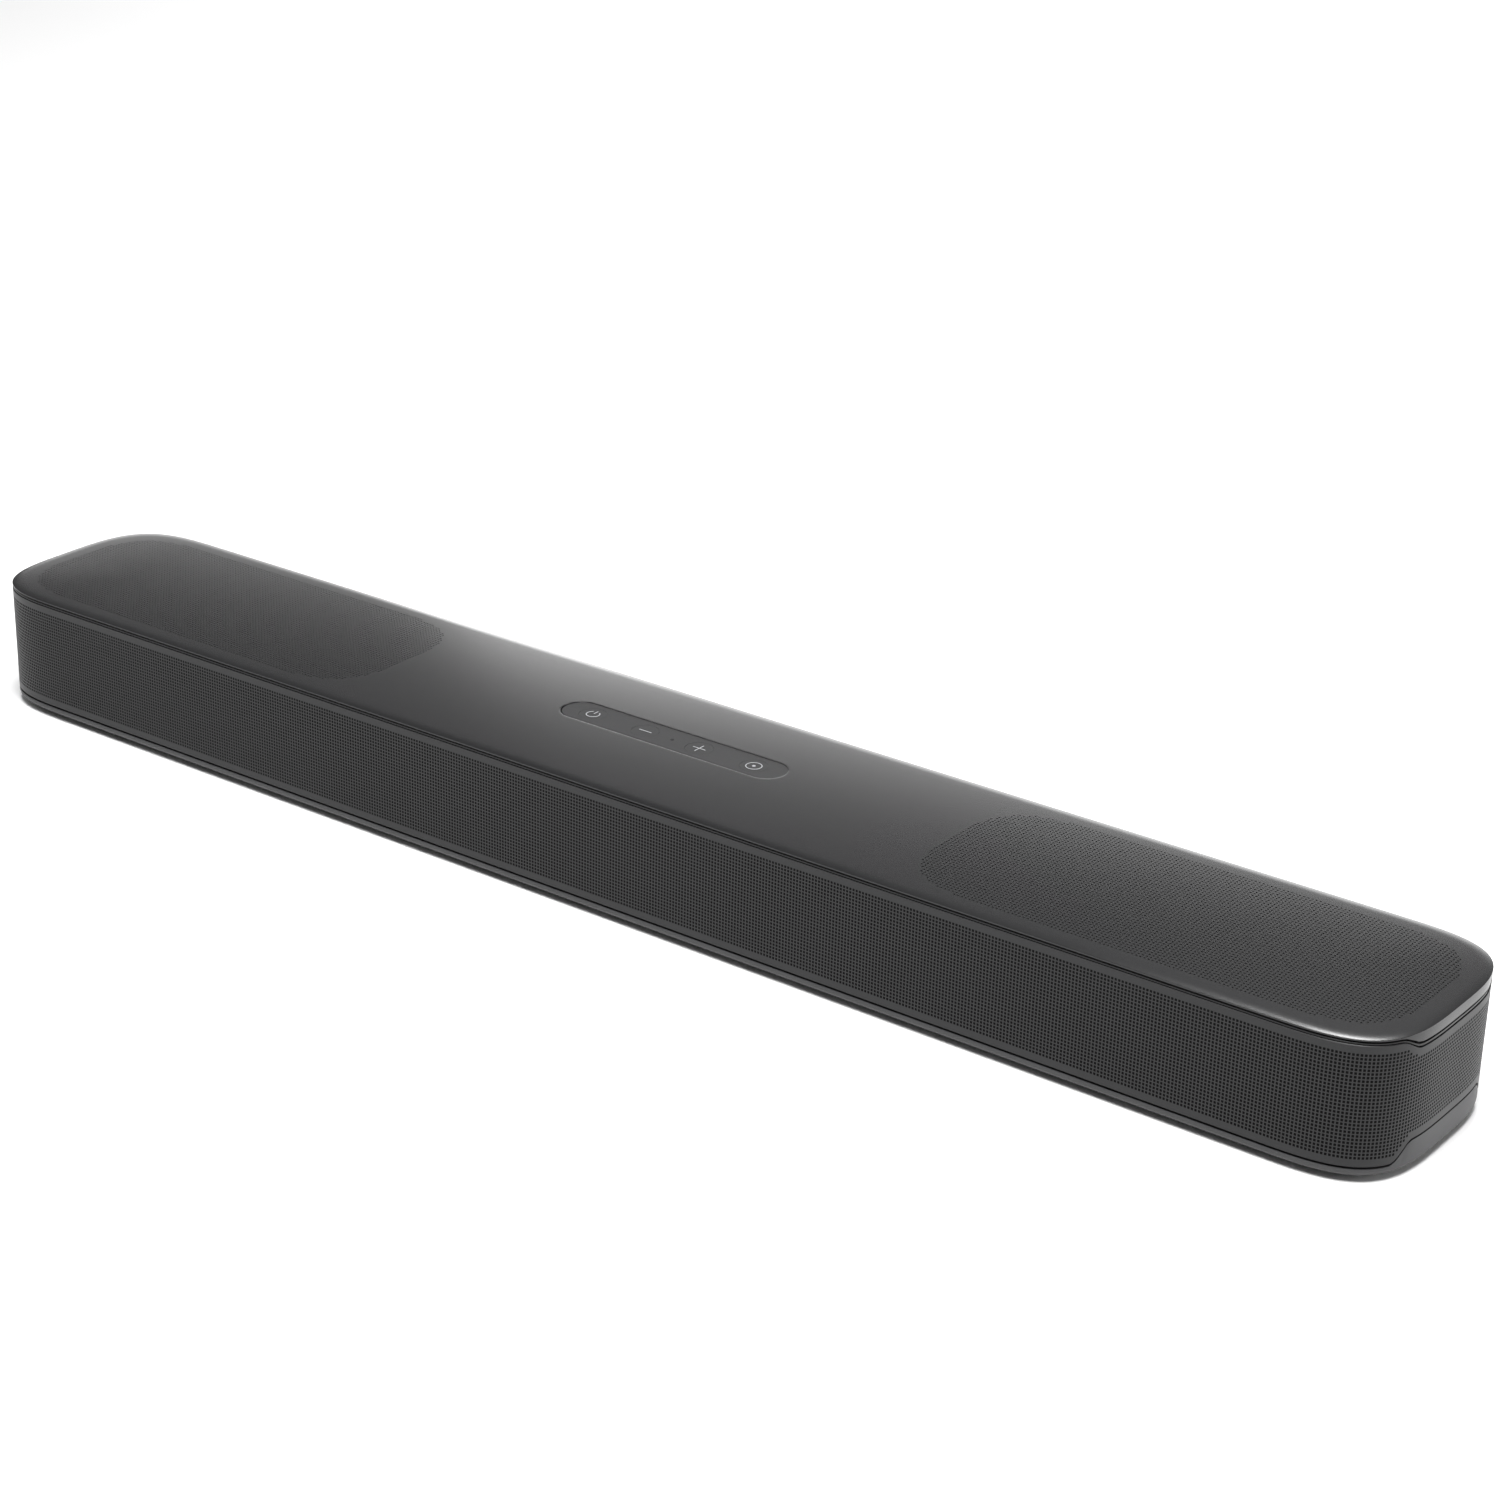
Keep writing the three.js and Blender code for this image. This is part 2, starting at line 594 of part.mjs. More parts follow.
// A half-round roll between the flange and the moving edge.
function surround(length, height, width, rise, thick, z) {
  const at = (share, lift) => racetrack(length - 2 * share * width, height - 2 * share * width, z + lift);
  const roll = [[0, 0], [0.28, 0.8 * rise], [0.5, rise], [0.72, 0.8 * rise], [1, 0]];
  const face = roll.map(([share, lift]) => at(share, thick + lift));
  const back = roll.map(([share, lift]) => at(share, lift)).reverse();
  return loft([...face, ...back], true);
}

function cone(length, height) {
  const front = -LEDGE_DEPTH + 2 * GAP;
  return loft([
    racetrack(COIL_RADIUS, COIL_RADIUS, -CONE_DEPTH + CAP_RISE),
    racetrack(2 * COIL_RADIUS, 2 * COIL_RADIUS, -CONE_DEPTH),
    racetrack(length - 2 * CONE_RIM_WIDTH, height - 2 * CONE_RIM_WIDTH, front + CONE_RIM_LIFT),
    racetrack(length, height, front + CONE_RIM_LIFT),
    racetrack(length, height, front + CONE_RIM_LIFT - CONE_RIM_THICK),
    racetrack(2 * COIL_RADIUS + 1, 2 * COIL_RADIUS + 1, -CONE_DEPTH - CONE_WALL),
    racetrack(2 * COIL_RADIUS, 2 * COIL_RADIUS, -COIL_DEPTH),
  ]);
}

function addDriver(name, length, x, y, turn) {
  const place = new THREE.Group();
  place.rotation.set(Math.PI / 2, 0, turn, "ZYX");
  place.position.set(x, y, DRIVER_Z);
  soundbar.add(place);
  const openLength = length - ROOM - 2 * GAP;
  const openHeight = DRIVER_HEIGHT - ROOM - 2 * GAP;
  const coneTrim = 2 * (SURROUND_WIDTH + GAP);
  addPiece(`${name}_basket`, "steel", basket(length), place);
  const seat = -LEDGE_DEPTH + GAP;
  const roll = surround(openLength, openHeight, SURROUND_WIDTH, SURROUND_RISE, SURROUND_THICK, seat);
  addPiece(`${name}_surround`, "rubber", roll, place);
  addPiece(`${name}_cone`, "cone", cone(openLength - coneTrim, openHeight - coneTrim), place);
}

addDriver("centre_driver", FRONT_DRIVER_LENGTH, 0, FRONT_DRIVER_Y, 0);
addDriver("left_driver", FRONT_DRIVER_LENGTH, -SIDE_DRIVER_X, FRONT_DRIVER_Y, 0);
addDriver("right_driver", FRONT_DRIVER_LENGTH, SIDE_DRIVER_X, FRONT_DRIVER_Y, 0);
addDriver("left_end_driver", END_DRIVER_LENGTH, -END_DRIVER_X, 0, -Math.PI / 2);
addDriver("right_end_driver", END_DRIVER_LENGTH, END_DRIVER_X, 0, Math.PI / 2);

// ---------------------------------------------------------------- chambers and passive radiators
const CHAMBER_LENGTH = CHAMBER_END - CHAMBER_START;
const RADIATOR_SIZE = Math.min(
  2 * (CHAMBER_HALF_DEPTH - RADIATOR_SPACE),
  CHAMBER_LENGTH / 2 - 1.5 * RADIATOR_SPACE,
);
const RADIATOR_PITCH = CHAMBER_LENGTH / 2 - RADIATOR_SPACE / 2;
const CHAMBER_MIDDLE = (CHAMBER_START + CHAMBER_END) / 2;
const RADIATOR_PLACES = [-0.5, 0.5].map((share) => CHAMBER_MIDDLE + share * RADIATOR_PITCH);
const RADIATOR_OPEN = RADIATOR_SIZE - 2 * RADIATOR_FRAME;

function chamber() {
  const half = CHAMBER_HALF_DEPTH;
  const shell = box(CHAMBER_START, CHAMBER_END, -half, half, CASE_FLOOR + GAP, CHAMBER_TOP);
  const hollow = box(
    CHAMBER_START + CHAMBER_WALL,
    CHAMBER_END - CHAMBER_WALL,
    -half + CHAMBER_WALL,
    half - CHAMBER_WALL,
    0,
    CHAMBER_TOP - CHAMBER_WALL,
  );
  const holes = RADIATOR_PLACES.map((x) => post(x, 0, RADIATOR_OPEN / 2, 0, HEIGHT, ROUND_STEPS));
  return cut(shell, hollow, ...holes);
}

function addRadiator(name, x) {
  const place = new THREE.Group();
  place.position.set(x, 0, CHAMBER_TOP + GAP);
  soundbar.add(place);
  const ring = (size, z) => racetrack(size, size, z);
  const frame = loft(
    [
      ring(RADIATOR_SIZE, 0),
      ring(RADIATOR_SIZE, RADIATOR_FRAME_THICK),
      ring(RADIATOR_OPEN, RADIATOR_FRAME_THICK),
      ring(RADIATOR_OPEN, 0),
    ],
    true,
  );
  const rollSize = RADIATOR_OPEN - 2 * GAP;
  const seat = RADIATOR_FRAME_THICK / 2;
  const roll = surround(rollSize, rollSize, SURROUND_WIDTH, SURROUND_RISE, RADIATOR_SURROUND_THICK, seat);
  const plateSize = rollSize - 2 * (SURROUND_WIDTH + GAP);
  const plateLow = (RADIATOR_FRAME_THICK - RADIATOR_PLATE_THICK) / 2;
  const plate = loft([
    ring(plateSize - 2 * RADIATOR_PLATE_CHAMFER, plateLow),
    ring(plateSize, plateLow + RADIATOR_PLATE_CHAMFER),
    ring(plateSize, plateLow + RADIATOR_PLATE_THICK - RADIATOR_PLATE_CHAMFER),
    ring(plateSize - 2 * RADIATOR_PLATE_CHAMFER, plateLow + RADIATOR_PLATE_THICK),
  ]);
  addPiece(`${name}_frame`, "inner", frame, place);
  addPiece(`${name}_surround`, "rubber", roll, place);
  addPiece(`${name}_plate`, "steel", plate, place);
}

addPiece("right_chamber", "inner", chamber());
addPiece("left_chamber", "inner", chamber().rotateZ(Math.PI));
for (const [side, sign] of [["left", -1], ["right", 1]]) {
  addRadiator(`${side}_inner_radiator`, sign * RADIATOR_PLACES[0]);
  addRadiator(`${side}_outer_radiator`, sign * RADIATOR_PLACES[1]);
}

// ---------------------------------------------------------------- sockets, bay and boards
const PANEL_FACE = BAY_PANEL_Y + BAY_WALL;
const MOUTH_Y = PANEL_FACE + JACK_PROUD;
const JACKS = {
  usb_jack: { x: -80, width: 13.2, height: 5.8, depth: 14, mouth: [12.5, 5.1, 9] },
  ethernet_jack: { x: -55, width: 16, height: 13.5, depth: 21, mouth: [11.8, 8.2, 12] },
  optical_jack: { x: -30, width: 13.5, height: 10, depth: 12, mouth: [9.7, 8.3, 1] },
  hdmi_jack_second: { x: -2, width: 15, height: 5.8, depth: 12, mouth: [14, 4.6, 8] },
  hdmi_jack_main: { x: 22, width: 15, height: 5.8, depth: 12, mouth: [14, 4.6, 8] },
};
const TONGUES = { usb_jack: [11.1, 1.6, 0.9], hdmi_jack_second: [11, 0.9, 0], hdmi_jack_main: [11, 0.9, 0] };
const INLET_X = 72;
const INLET_Z = 26;
const INLET_WIDTH = 24;
const INLET_HEIGHT = 16;
const INLET_DEPTH = 17;
const INLET_MOUTH = [17.5, 8.6, 12];
const PIN_SPACING = 8.6;
const PIN_RADIUS = 1.2;
const PIN_LENGTH = 9;
const TONGUE_SET_BACK = 0.8; // of a socket's tongue behind its mouth
const TONGUE_ROOT = 0.5; // how far it is sunk into the socket's back
const JACK_LOW = BOARD_TOP + GAP;

// A box across the panel, from behind it to its mouth.
function across(x, z, width, height, y0, y1) {
  return box(x - width / 2, x + width / 2, y0, y1, z - height / 2, z + height / 2);
}

function jack(name) {
  const { x, width, height, depth, mouth } = JACKS[name];
  const [mouthWidth, mouthHeight, mouthDepth] = mouth;
  const z = JACK_LOW + height / 2;
  const shell = across(x, z, width, height, MOUTH_Y - depth, MOUTH_Y);
  const hollow = across(x, z, mouthWidth, mouthHeight, MOUTH_Y - mouthDepth, MOUTH_Y + 1);
  const open = cut(shell, hollow);
  if (!TONGUES[name]) return open;
  const [tongueWidth, tongueThick, lift] = TONGUES[name];
  const root = MOUTH_Y - mouthDepth - TONGUE_ROOT;
  const tongue = across(x, z + lift, tongueWidth, tongueThick, root, MOUTH_Y - TONGUE_SET_BACK);
  return join(open, tongue);
}

function mainsInlet() {
  const [mouthLength, mouthHeight, mouthDepth] = INLET_MOUTH;
  const body = across(INLET_X, INLET_Z, INLET_WIDTH, INLET_HEIGHT, MOUTH_Y - INLET_DEPTH, MOUTH_Y);
  const recess = loft([
    racetrack(mouthLength, mouthHeight, 0),
    racetrack(mouthLength, mouthHeight, mouthDepth + 1),
  ]);
  recess.rotateX(-Math.PI / 2).translate(INLET_X, MOUTH_Y - mouthDepth, INLET_Z);
  const pins = [-0.5, 0.5].map((share) => {
    const root = MOUTH_Y - mouthDepth;
    return pinAlong(INLET_X + share * PIN_SPACING, INLET_Z, PIN_RADIUS, root - 1, root + PIN_LENGTH);
  });
  return join(cut(body, recess), ...pins);
}

function connectorBay() {
  const half = BAY_LENGTH / 2;
  const shell = box(-half, half, BAY_PANEL_Y, REAR_Y - GAP, BAY_BOTTOM, BAY_TOP);
  const hollow = box(
    -half + BAY_WALL,
    half - BAY_WALL,
    PANEL_FACE,
    REAR_Y + 1,
    BAY_BOTTOM + BAY_WALL,
    BAY_TOP - BAY_WALL,
  );
  const holes = Object.values(JACKS).map(({ x, width, height }) =>
    across(x, JACK_LOW + height / 2, width + 2 * GAP, height + 2 * GAP, BAY_PANEL_Y - 1, PANEL_FACE + 1),
  );
  const inletHole = across(
    INLET_X,
    INLET_Z,
    INLET_WIDTH + 2 * GAP,
    INLET_HEIGHT + 2 * GAP,
    BAY_PANEL_Y - 1,
    PANEL_FACE + 1,
  );
  return cut(shell, hollow, ...holes, inletHole);
}

function board({ x0, x1, y0, y1 }) {
  return box(x0, x1, y0, y1, BOARD_TOP - BOARD_THICK, BOARD_TOP);
}

const HEATSINK_BASE = 3;
const HEATSINK_HEIGHT = 18;
const HEATSINK_FINS = 6;
const HEATSINK_LENGTH = 34;
const HEATSINK_WIDTH = 20;
const HEATSINK_FIN_THICK = 2;
const HEATSINK_END_ROOM = 8; // from the end of its board
const HEATSINK_SIDE_ROOM = 4;

function heatsink() {
  const { x0, y0 } = boardPlaces().main;
  const left = x0 + HEATSINK_END_ROOM;
  const front = y0 + HEATSINK_SIDE_ROOM;
  const back = front + HEATSINK_WIDTH;
  const low = BOARD_TOP + GAP;
  const base = box(left, left + HEATSINK_LENGTH, front, back, low, low + HEATSINK_BASE);
  const pitch = (HEATSINK_LENGTH - HEATSINK_FIN_THICK) / (HEATSINK_FINS - 1);
  const fins = Array.from({ length: HEATSINK_FINS }, (_, i) => {
    const start = left + i * pitch;
    return box(start, start + HEATSINK_FIN_THICK, front, back, low, low + HEATSINK_HEIGHT);
  });
  return join(base, ...fins);
}

const TRANSFORMER_CORE = [26, 20, 18];
const TRANSFORMER_BOBBIN = [18, 16, 21];
const TRANSFORMER_END_ROOM = 20; // from the board's end to the transformer's middle
const TRANSFORMER_SIDE_ROOM = 13;

function transformer() {
  const { x1, y0 } = boardPlaces().power;
  const x = x1 - TRANSFORMER_END_ROOM;
  const y = y0 + TRANSFORMER_SIDE_ROOM;
  const low = BOARD_TOP + GAP;
  const block = ([length, width, height]) =>
    box(x - length / 2, x + length / 2, y - width / 2, y + width / 2, low, low + height);
  return join(block(TRANSFORMER_CORE), block(TRANSFORMER_BOBBIN));
}

addPiece("connector_bay", "inner", connectorBay());
for (const name of Object.keys(JACKS)) {
  addPiece(name, name === "optical_jack" ? "inner" : "socket", jack(name));
}
addPiece("mains_inlet", "inner", mainsInlet());
addPiece("main_board", "board", board(boardPlaces().main));
addPiece("power_board", "board", board(boardPlaces().power));
addPiece("heatsink", "aluminium", heatsink());
addPiece("transformer", "copper", transformer());

export default soundbar;
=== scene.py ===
"""Looks of a compact all-in-one soundbar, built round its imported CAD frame, for Blender 4.5.

Places and sizes are in metres: a length written in millimetres is multiplied by MM.
X runs along the soundbar, -Y is its front and Z is up.
"""
import bisect
import json
import math

import bmesh
import bpy
from mathutils import Matrix, Vector


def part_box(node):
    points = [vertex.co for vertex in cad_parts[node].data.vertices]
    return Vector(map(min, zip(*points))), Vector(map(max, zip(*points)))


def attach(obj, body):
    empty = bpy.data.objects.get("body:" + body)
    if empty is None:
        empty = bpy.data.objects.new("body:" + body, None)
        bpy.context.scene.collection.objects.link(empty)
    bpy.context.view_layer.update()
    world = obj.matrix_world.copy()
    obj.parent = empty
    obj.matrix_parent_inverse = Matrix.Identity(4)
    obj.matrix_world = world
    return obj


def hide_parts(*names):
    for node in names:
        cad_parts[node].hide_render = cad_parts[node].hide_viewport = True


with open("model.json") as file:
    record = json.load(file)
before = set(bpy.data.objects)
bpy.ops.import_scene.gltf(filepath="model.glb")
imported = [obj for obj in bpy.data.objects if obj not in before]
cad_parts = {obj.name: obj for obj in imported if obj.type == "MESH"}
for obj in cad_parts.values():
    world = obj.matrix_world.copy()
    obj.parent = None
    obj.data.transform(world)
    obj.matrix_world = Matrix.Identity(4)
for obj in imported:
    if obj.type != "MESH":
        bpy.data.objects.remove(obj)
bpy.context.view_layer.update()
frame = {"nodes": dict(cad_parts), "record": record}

MM = 0.001
MICRON = 0.001 * MM

# ------------------------------------------------------------------ sizes taken from the frame
cover_low, cover_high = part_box("top_cover")
case_low, case_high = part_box("bottom_case")
grille_low, grille_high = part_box("front_grille")
rear_low, rear_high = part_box("rear_wall")
bay_low, bay_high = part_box("connector_bay")
strip_low, strip_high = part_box("keypad_strip")

LENGTH = cover_high.x - cover_low.x
DEPTH = cover_high.y - cover_low.y
HEIGHT = cover_high.z
HALF_DEPTH = DEPTH / 2
END_X = LENGTH / 2
TINY = 1e-9  # keeps a division from meeting zero

# The casing's plan: straight sides, and squircle ends
CORNER_LENGTH = 51 * MM
CORNER_POWER = 3.54
CENTRE_X = END_X - CORNER_LENGTH

# Heights of the seams, along the front and round the ends
FOOT_TOP = case_low.z
# The bottom case's upper edge, which is drawn as high as the case's inner bosses at the ends
RIM = (5.7 * MM, case_high.z)
COVER_LIP = (56.3 * MM, cover_low.z + 1 * MM)
TRIM_HIGH = (55.5 * MM, cover_low.z - 0.1 * MM)
TRIM_LOW = (54.8 * MM, TRIM_HIGH[1] - 1 * MM)
GRILLE_HIGH = (grille_high.z, TRIM_LOW[1] - 0.3 * MM)
GRILLE_LOW = (grille_low.z, RIM[1] + 0.8 * MM)
STEP_START = 15 * MM  # from the casing's front wall to where the seams begin to step
STEP_END = 25 * MM
CROWN = 0.8 * MM  # how far the cover falls from its middle line to its edge
CROWN_POWER = 2
ROLL = 0.35 * MM  # how far the cover rolls off in the last few millimetres before its edge
ROLL_WIDTH = 5.5 * MM


# ------------------------------------------------------------------ the plan and its stations
# A station is a place round the plan that holds for every inset: where its corner's centre is, and
# how far the point lies from it as shares of the corner's reach and of the half depth.
def corner_station(side_x, side_y, turn):
    along = max(math.cos(turn), 0.0) ** (2 / CORNER_POWER)
    across = math.sin(turn) ** (2 / CORNER_POWER)
    return Vector((side_x * CENTRE_X, side_x * along, side_y * across))


def place(station, inset, z):
    """The point of a station at an inset from the casing's walls."""
    x = station.x + (CORNER_LENGTH - inset) * station.y
    return Vector((x, (HALF_DEPTH - inset) * station.z, z))


def stepped(station, heights):
    """A seam's height at a station: it steps from its front height to its end height."""
    if not isinstance(heights, tuple):
        return heights
    if abs(station.y) < 1e-6:
        return heights[0]
    behind = HALF_DEPTH * (1 - abs(station.z))
    share = min(max((behind - STEP_START) / (STEP_END - STEP_START), 0.0), 1.0)
    share = share * share * (3 - 2 * share)
    return heights[0] + (heights[1] - heights[0]) * share


def quarter_turn(steps):
    """The angles of a quarter turn, in even steps."""
    return [math.pi / 2 * i / steps for i in range(steps + 1)]


def dense_round():
    """Stations all round the plan, from the middle of the front to the right."""
    turns = quarter_turn(240)
    right_front = [corner_station(1, -1, t) for t in reversed(turns)]
    right_back = [corner_station(1, 1, t) for t in turns]
    left_back = [corner_station(-1, 1, t) for t in reversed(turns)]
    left_front = [corner_station(-1, -1, t) for t in turns]
    middle = [Vector((0, 0, -1))]
    return middle + right_front + right_back + left_back + left_front + middle


ROUND = dense_round()
REACHED = [0.0]
for before, after in zip(ROUND, ROUND[1:]):
    REACHED.append(REACHED[-1] + (place(after, 0, 0) - place(before, 0, 0)).length)
GIRTH = REACHED[-1]


def station_at(walked):
    """The station that lies this far round the casing, from the middle of the front."""
    walked = walked % GIRTH
    i = min(max(bisect.bisect_right(REACHED, walked), 1), len(ROUND) - 1)
    span = REACHED[i] - REACHED[i - 1]
    return ROUND[i - 1].lerp(ROUND[i], (walked - REACHED[i - 1]) / span if span else 0.0)


def walk_to(y):
    """How far round the right end a point of the rear corner at this y lies."""
    for i, station in enumerate(ROUND):
        if station.y > 0 and HALF_DEPTH * station.z >= y:
            return REACHED[i]
    raise ValueError("the plan has no such place")


# ------------------------------------------------------------------ mesh helpers
def new_mesh():
    """A bmesh whose vertices remember their station."""
    bm = bmesh.new()
    bm.verts.layers.float_vector.new("station")
    return bm


def station_of(bm, vert):
    return vert[bm.verts.layers.float_vector["station"]].copy()


def put(bm, verts, inset, heights):
    """Moves vertices to an inset and a height, each at its own station."""
    for vert in verts:
        station = station_of(bm, vert)
        vert.co = place(station, inset, stepped(station, heights))


def plan_loop(bm, count, inset, heights):
    """A closed loop round the plan, evenly walked. Returns its edges."""
    layer = bm.verts.layers.float_vector["station"]
    made = bmesh.ops.create_circle(bm, segments=count, radius=1.0, cap_ends=False)["verts"]
    for i, vert in enumerate(made):
        vert[layer] = station_at(GIRTH * i / count)
    put(bm, made, inset, heights)
    return edges_within(made)


def drawn_out(bm, edges, inset, heights):
    """Extrudes a loop to the next inset and height. Returns the new loop's edges."""
    made = bmesh.ops.extrude_edge_only(bm, edges=edges)["geom"]
    put(bm, [g for g in made if isinstance(g, bmesh.types.BMVert)], inset, heights)
    return [g for g in made if isinstance(g, bmesh.types.BMEdge) and len(g.link_faces) < 2]


def edges_within(verts):
    """The edges that have both their ends among these vertices."""
    chosen = set(verts)
    found = dict.fromkeys(e for v in verts for e in v.link_edges)
    return [e for e in found if e.verts[0] in chosen and e.verts[1] in chosen]


def finished(bm, name, materials, body, replaces=()):
    """Makes a mesh object of a bmesh, hangs it on its body, and hides the CAD parts that it
    replaces.
    """
    bmesh.ops.recalc_face_normals(bm, faces=bm.faces)
    mesh = bpy.data.meshes.new(name)
    for face in bm.faces:
        face.smooth = True
    bm.to_mesh(mesh)
    bm.free()
    mesh.set_sharp_from_angle(angle=math.radians(35))
    for layer in [a for a in mesh.attributes if a.name == "station"]:
        mesh.attributes.remove(layer)
    for material in materials:
        mesh.materials.append(material)
    piece = bpy.data.objects.new(name, mesh)
    bpy.context.scene.collection.objects.link(piece)
    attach(piece, body)
    if replaces:
        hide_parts(*replaces)


def middle_of(node):
    """The middle of a CAD node in plan."""
    low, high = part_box(node)
    return Vector(((low.x + high.x) / 2, (low.y + high.y) / 2, 0))


def circle_loop(bm, centre, radius, z, segments):
    """A flat round loop. Returns its edges."""
    made = bmesh.ops.create_circle(bm, segments=segments, radius=radius, cap_ends=False)["verts"]
    for vert in made:
        vert.co += Vector((centre.x, centre.y, z))
    return edges_within(made)


def stadium_loop(bm, centre, length, width, z, segments):
    """A flat loop with straight sides and round ends. Returns its edges."""
    made = bmesh.ops.create_circle(bm, segments=segments, radius=width / 2, cap_ends=False)["verts"]
    shift = (length - width) / 2
    for vert in made:
        vert.co.x += math.copysign(shift, vert.co.x if abs(vert.co.x) > TINY else vert.co.y)
        vert.co += Vector((centre.x, centre.y, z))
    return edges_within(made)


def lifted(bm, edges, centre, grow, z):
    """Extrudes a stadium or circle loop, growing it about its centre and setting its height."""
    made = bmesh.ops.extrude_edge_only(bm, edges=edges)["geom"]
    verts = [g for g in made if isinstance(g, bmesh.types.BMVert)]
    reach_x = max(abs(v.co.x - centre.x) for v in verts)
    reach_y = max(abs(v.co.y - centre.y) for v in verts)
    straight = reach_x - min(reach_x, reach_y)
    for vert in verts:
        x, y = vert.co.x - centre.x, vert.co.y - centre.y
        hub = min(max(x, -straight), straight)
        arm = Vector((x - hub, y))
        arm *= (arm.length + grow) / arm.length
        vert.co = Vector((centre.x + hub + arm.x, centre.y + arm.y, z))
    return edges_within(verts)


def cap(bm, edges):
    """Fills a closed loop with one face."""
    bmesh.ops.edgeloop_fill(bm, edges=edges)


def grid_of(bm, columns, rows):
    """A flat grid whose lines stand at these places. Returns its vertices by column and row."""
    made = bmesh.ops.create_grid(
        bm, x_segments=len(columns) - 1, y_segments=len(rows) - 1, size=1.0
    )["verts"]
    by_place = sorted(made, key=lambda v: (round(v.co.x, 6), round(v.co.y, 6)))
    lines = [by_place[i * len(rows):(i + 1) * len(rows)] for i in range(len(columns))]
    for x, line in zip(columns, lines):
        for y, vert in zip(rows, line):
            vert.co = Vector((x, y, 0))
    return lines


def cell(lines, column, row):
    """The face of a grid whose lowest corner is at this column and row."""
    near, far = lines[column], lines[column + 1]
    corners = {near[row], near[row + 1], far[row], far[row + 1]}
    return next(face for face in near[row].link_faces if set(face.verts) == corners)


def hole_lines(start, count, pitch, hole):
    """Both sides of each hole in a row of holes."""
    lines = []
    for i in range(count):
        middle = start + (i + 0.5) * pitch
        lines += [middle - hole / 2, middle + hole / 2]
    return lines


def punch(bm, faces, depth):
    """Pushes a pit into each of these faces, and gives it the piece's second material, whose
    near-black colour paints the hole: painted shade, over black cloth in the grille.
    """
    made = bmesh.ops.poke(bm, faces=faces, offset=-depth, center_mode="MEAN")["faces"]
    for face in made:
        face.material_index = 1


# ------------------------------------------------------------------ materials
def linear(hex_colour):
    """An sRGB hex colour as Blender's linear colour."""
    parts = [int(hex_colour[i:i + 2], 16) / 255 for i in (1, 3, 5)]
    return [*((c / 12.92) if c <= 0.04045 else ((c + 0.055) / 1.055) ** 2.4 for c in parts), 1.0]


def add(tree, kind, inputs, **settings):
    """Adds a node. An input is a value, or the output of another node to link from."""
    made = tree.nodes.new(kind)
    for name, value in settings.items():
        setattr(made, name, value)
    for name, value in inputs.items():
        socket = made.inputs[name]
        if isinstance(value, bpy.types.NodeSocket):
            tree.links.new(value, socket)
        else:
            socket.default_value = value
    return made


TONE_PATCH = 40 * MM  # the slow change of tone that every moulded or painted surface shows


def surface(name, colours, roughness, grain, bump, metallic=0.0, ior=1.5, spread=0.06):
    """A surface whose colour, roughness and relief vary with a grain of a real size in metres.

    colours are the darker and the lighter sRGB tone, bump is the grain's height in metres, and
    spread is how far the roughness strays from its middle value.
    """
    material = bpy.data.materials.new(name)
    material.use_nodes = True
    tree = material.node_tree
    tree.nodes.clear()
    where = add(tree, "ShaderNodeTexCoord", {}).outputs["Object"]
    fine = add(tree, "ShaderNodeTexNoise", {"Vector": where, "Scale": 1 / grain, "Detail": 3.0})
    broad = add(
        tree, "ShaderNodeTexNoise", {"Vector": where, "Scale": 1 / TONE_PATCH, "Detail": 2.0}
    )
    mixed = add(
        tree, "ShaderNodeMix",
        {"Factor": 0.35, "A": fine.outputs["Fac"], "B": broad.outputs["Fac"]},
    )
    tone = add(tree, "ShaderNodeValToRGB", {"Fac": mixed.outputs["Result"]})
    tone.color_ramp.elements[0].position = 0.3
    tone.color_ramp.elements[0].color = linear(colours[0])
    tone.color_ramp.elements[1].position = 0.7
    tone.color_ramp.elements[1].color = linear(colours[1])
    rough = add(
        tree, "ShaderNodeMapRange",
        {"Value": fine.outputs["Fac"], "To Min": roughness - spread, "To Max": roughness + spread},
    )
    relief = add(
        tree, "ShaderNodeBump",
        {"Height": fine.outputs["Fac"], "Strength": 1.0, "Distance": bump},
    )
    shader = add(
        tree, "ShaderNodeBsdfPrincipled",
        {
            "Base Color": tone.outputs["Color"],
            "Roughness": rough.outputs["Result"],
            "Normal": relief.outputs["Normal"],
            "Metallic": metallic,
            "IOR": ior,
        },
    )
    add(tree, "ShaderNodeOutputMaterial", {"Surface": shader.outputs["BSDF"]})
    return material


# Cover: ABS under a satin soft-feel paint, which spreads a highlight into a broad sheen. Its own
# grain is some 0.1 mm across, drawn coarser so that it shows.
cover_paint = surface(
    "satin_soft_paint", ("#19191a", "#1d1d1e"), 0.22, 1.8 * MM, 0.0006 * MM, spread=0.01
)
# Grille: punched steel sheet, powder coated, with a fine orange peel.
grille_coat = surface(
    "powder_coated_steel", ("#121213", "#18181a"), 0.45, 0.8 * MM, 0.006 * MM, ior=1.45
)
# A grille hole, drawn as a shallow pit: its near-black colour stands for the black acoustic cloth
# behind the punched sheet, and is painted shade for the hole's depth, so it gives back almost no
# light.
hole_cloth_and_shade = surface(
    "hole_black_cloth_and_painted_shade", ("#050505", "#0b0b0b"), 0.95, 0.3 * MM, 0.01 * MM, ior=1.2
)
# A cover hole, drawn as a shallow pit in the moulding: its near-black colour is painted shade,
# standing for the dark inside of the hole, so it gives back almost no light.
cover_hole_painted_shade = surface("cover_hole_painted_shade_colour", ("#070707", "#0d0d0d"), 0.9, 0.3 * MM, 0.002 * MM, ior=1.3)
# Bottom case and rear wall: ABS out of a spark-eroded mould, with a fine even grain.
case_abs = surface(
    "spark_grained_abs", ("#373738", "#404041"), 0.5, 0.35 * MM, 0.012 * MM, ior=1.45
)
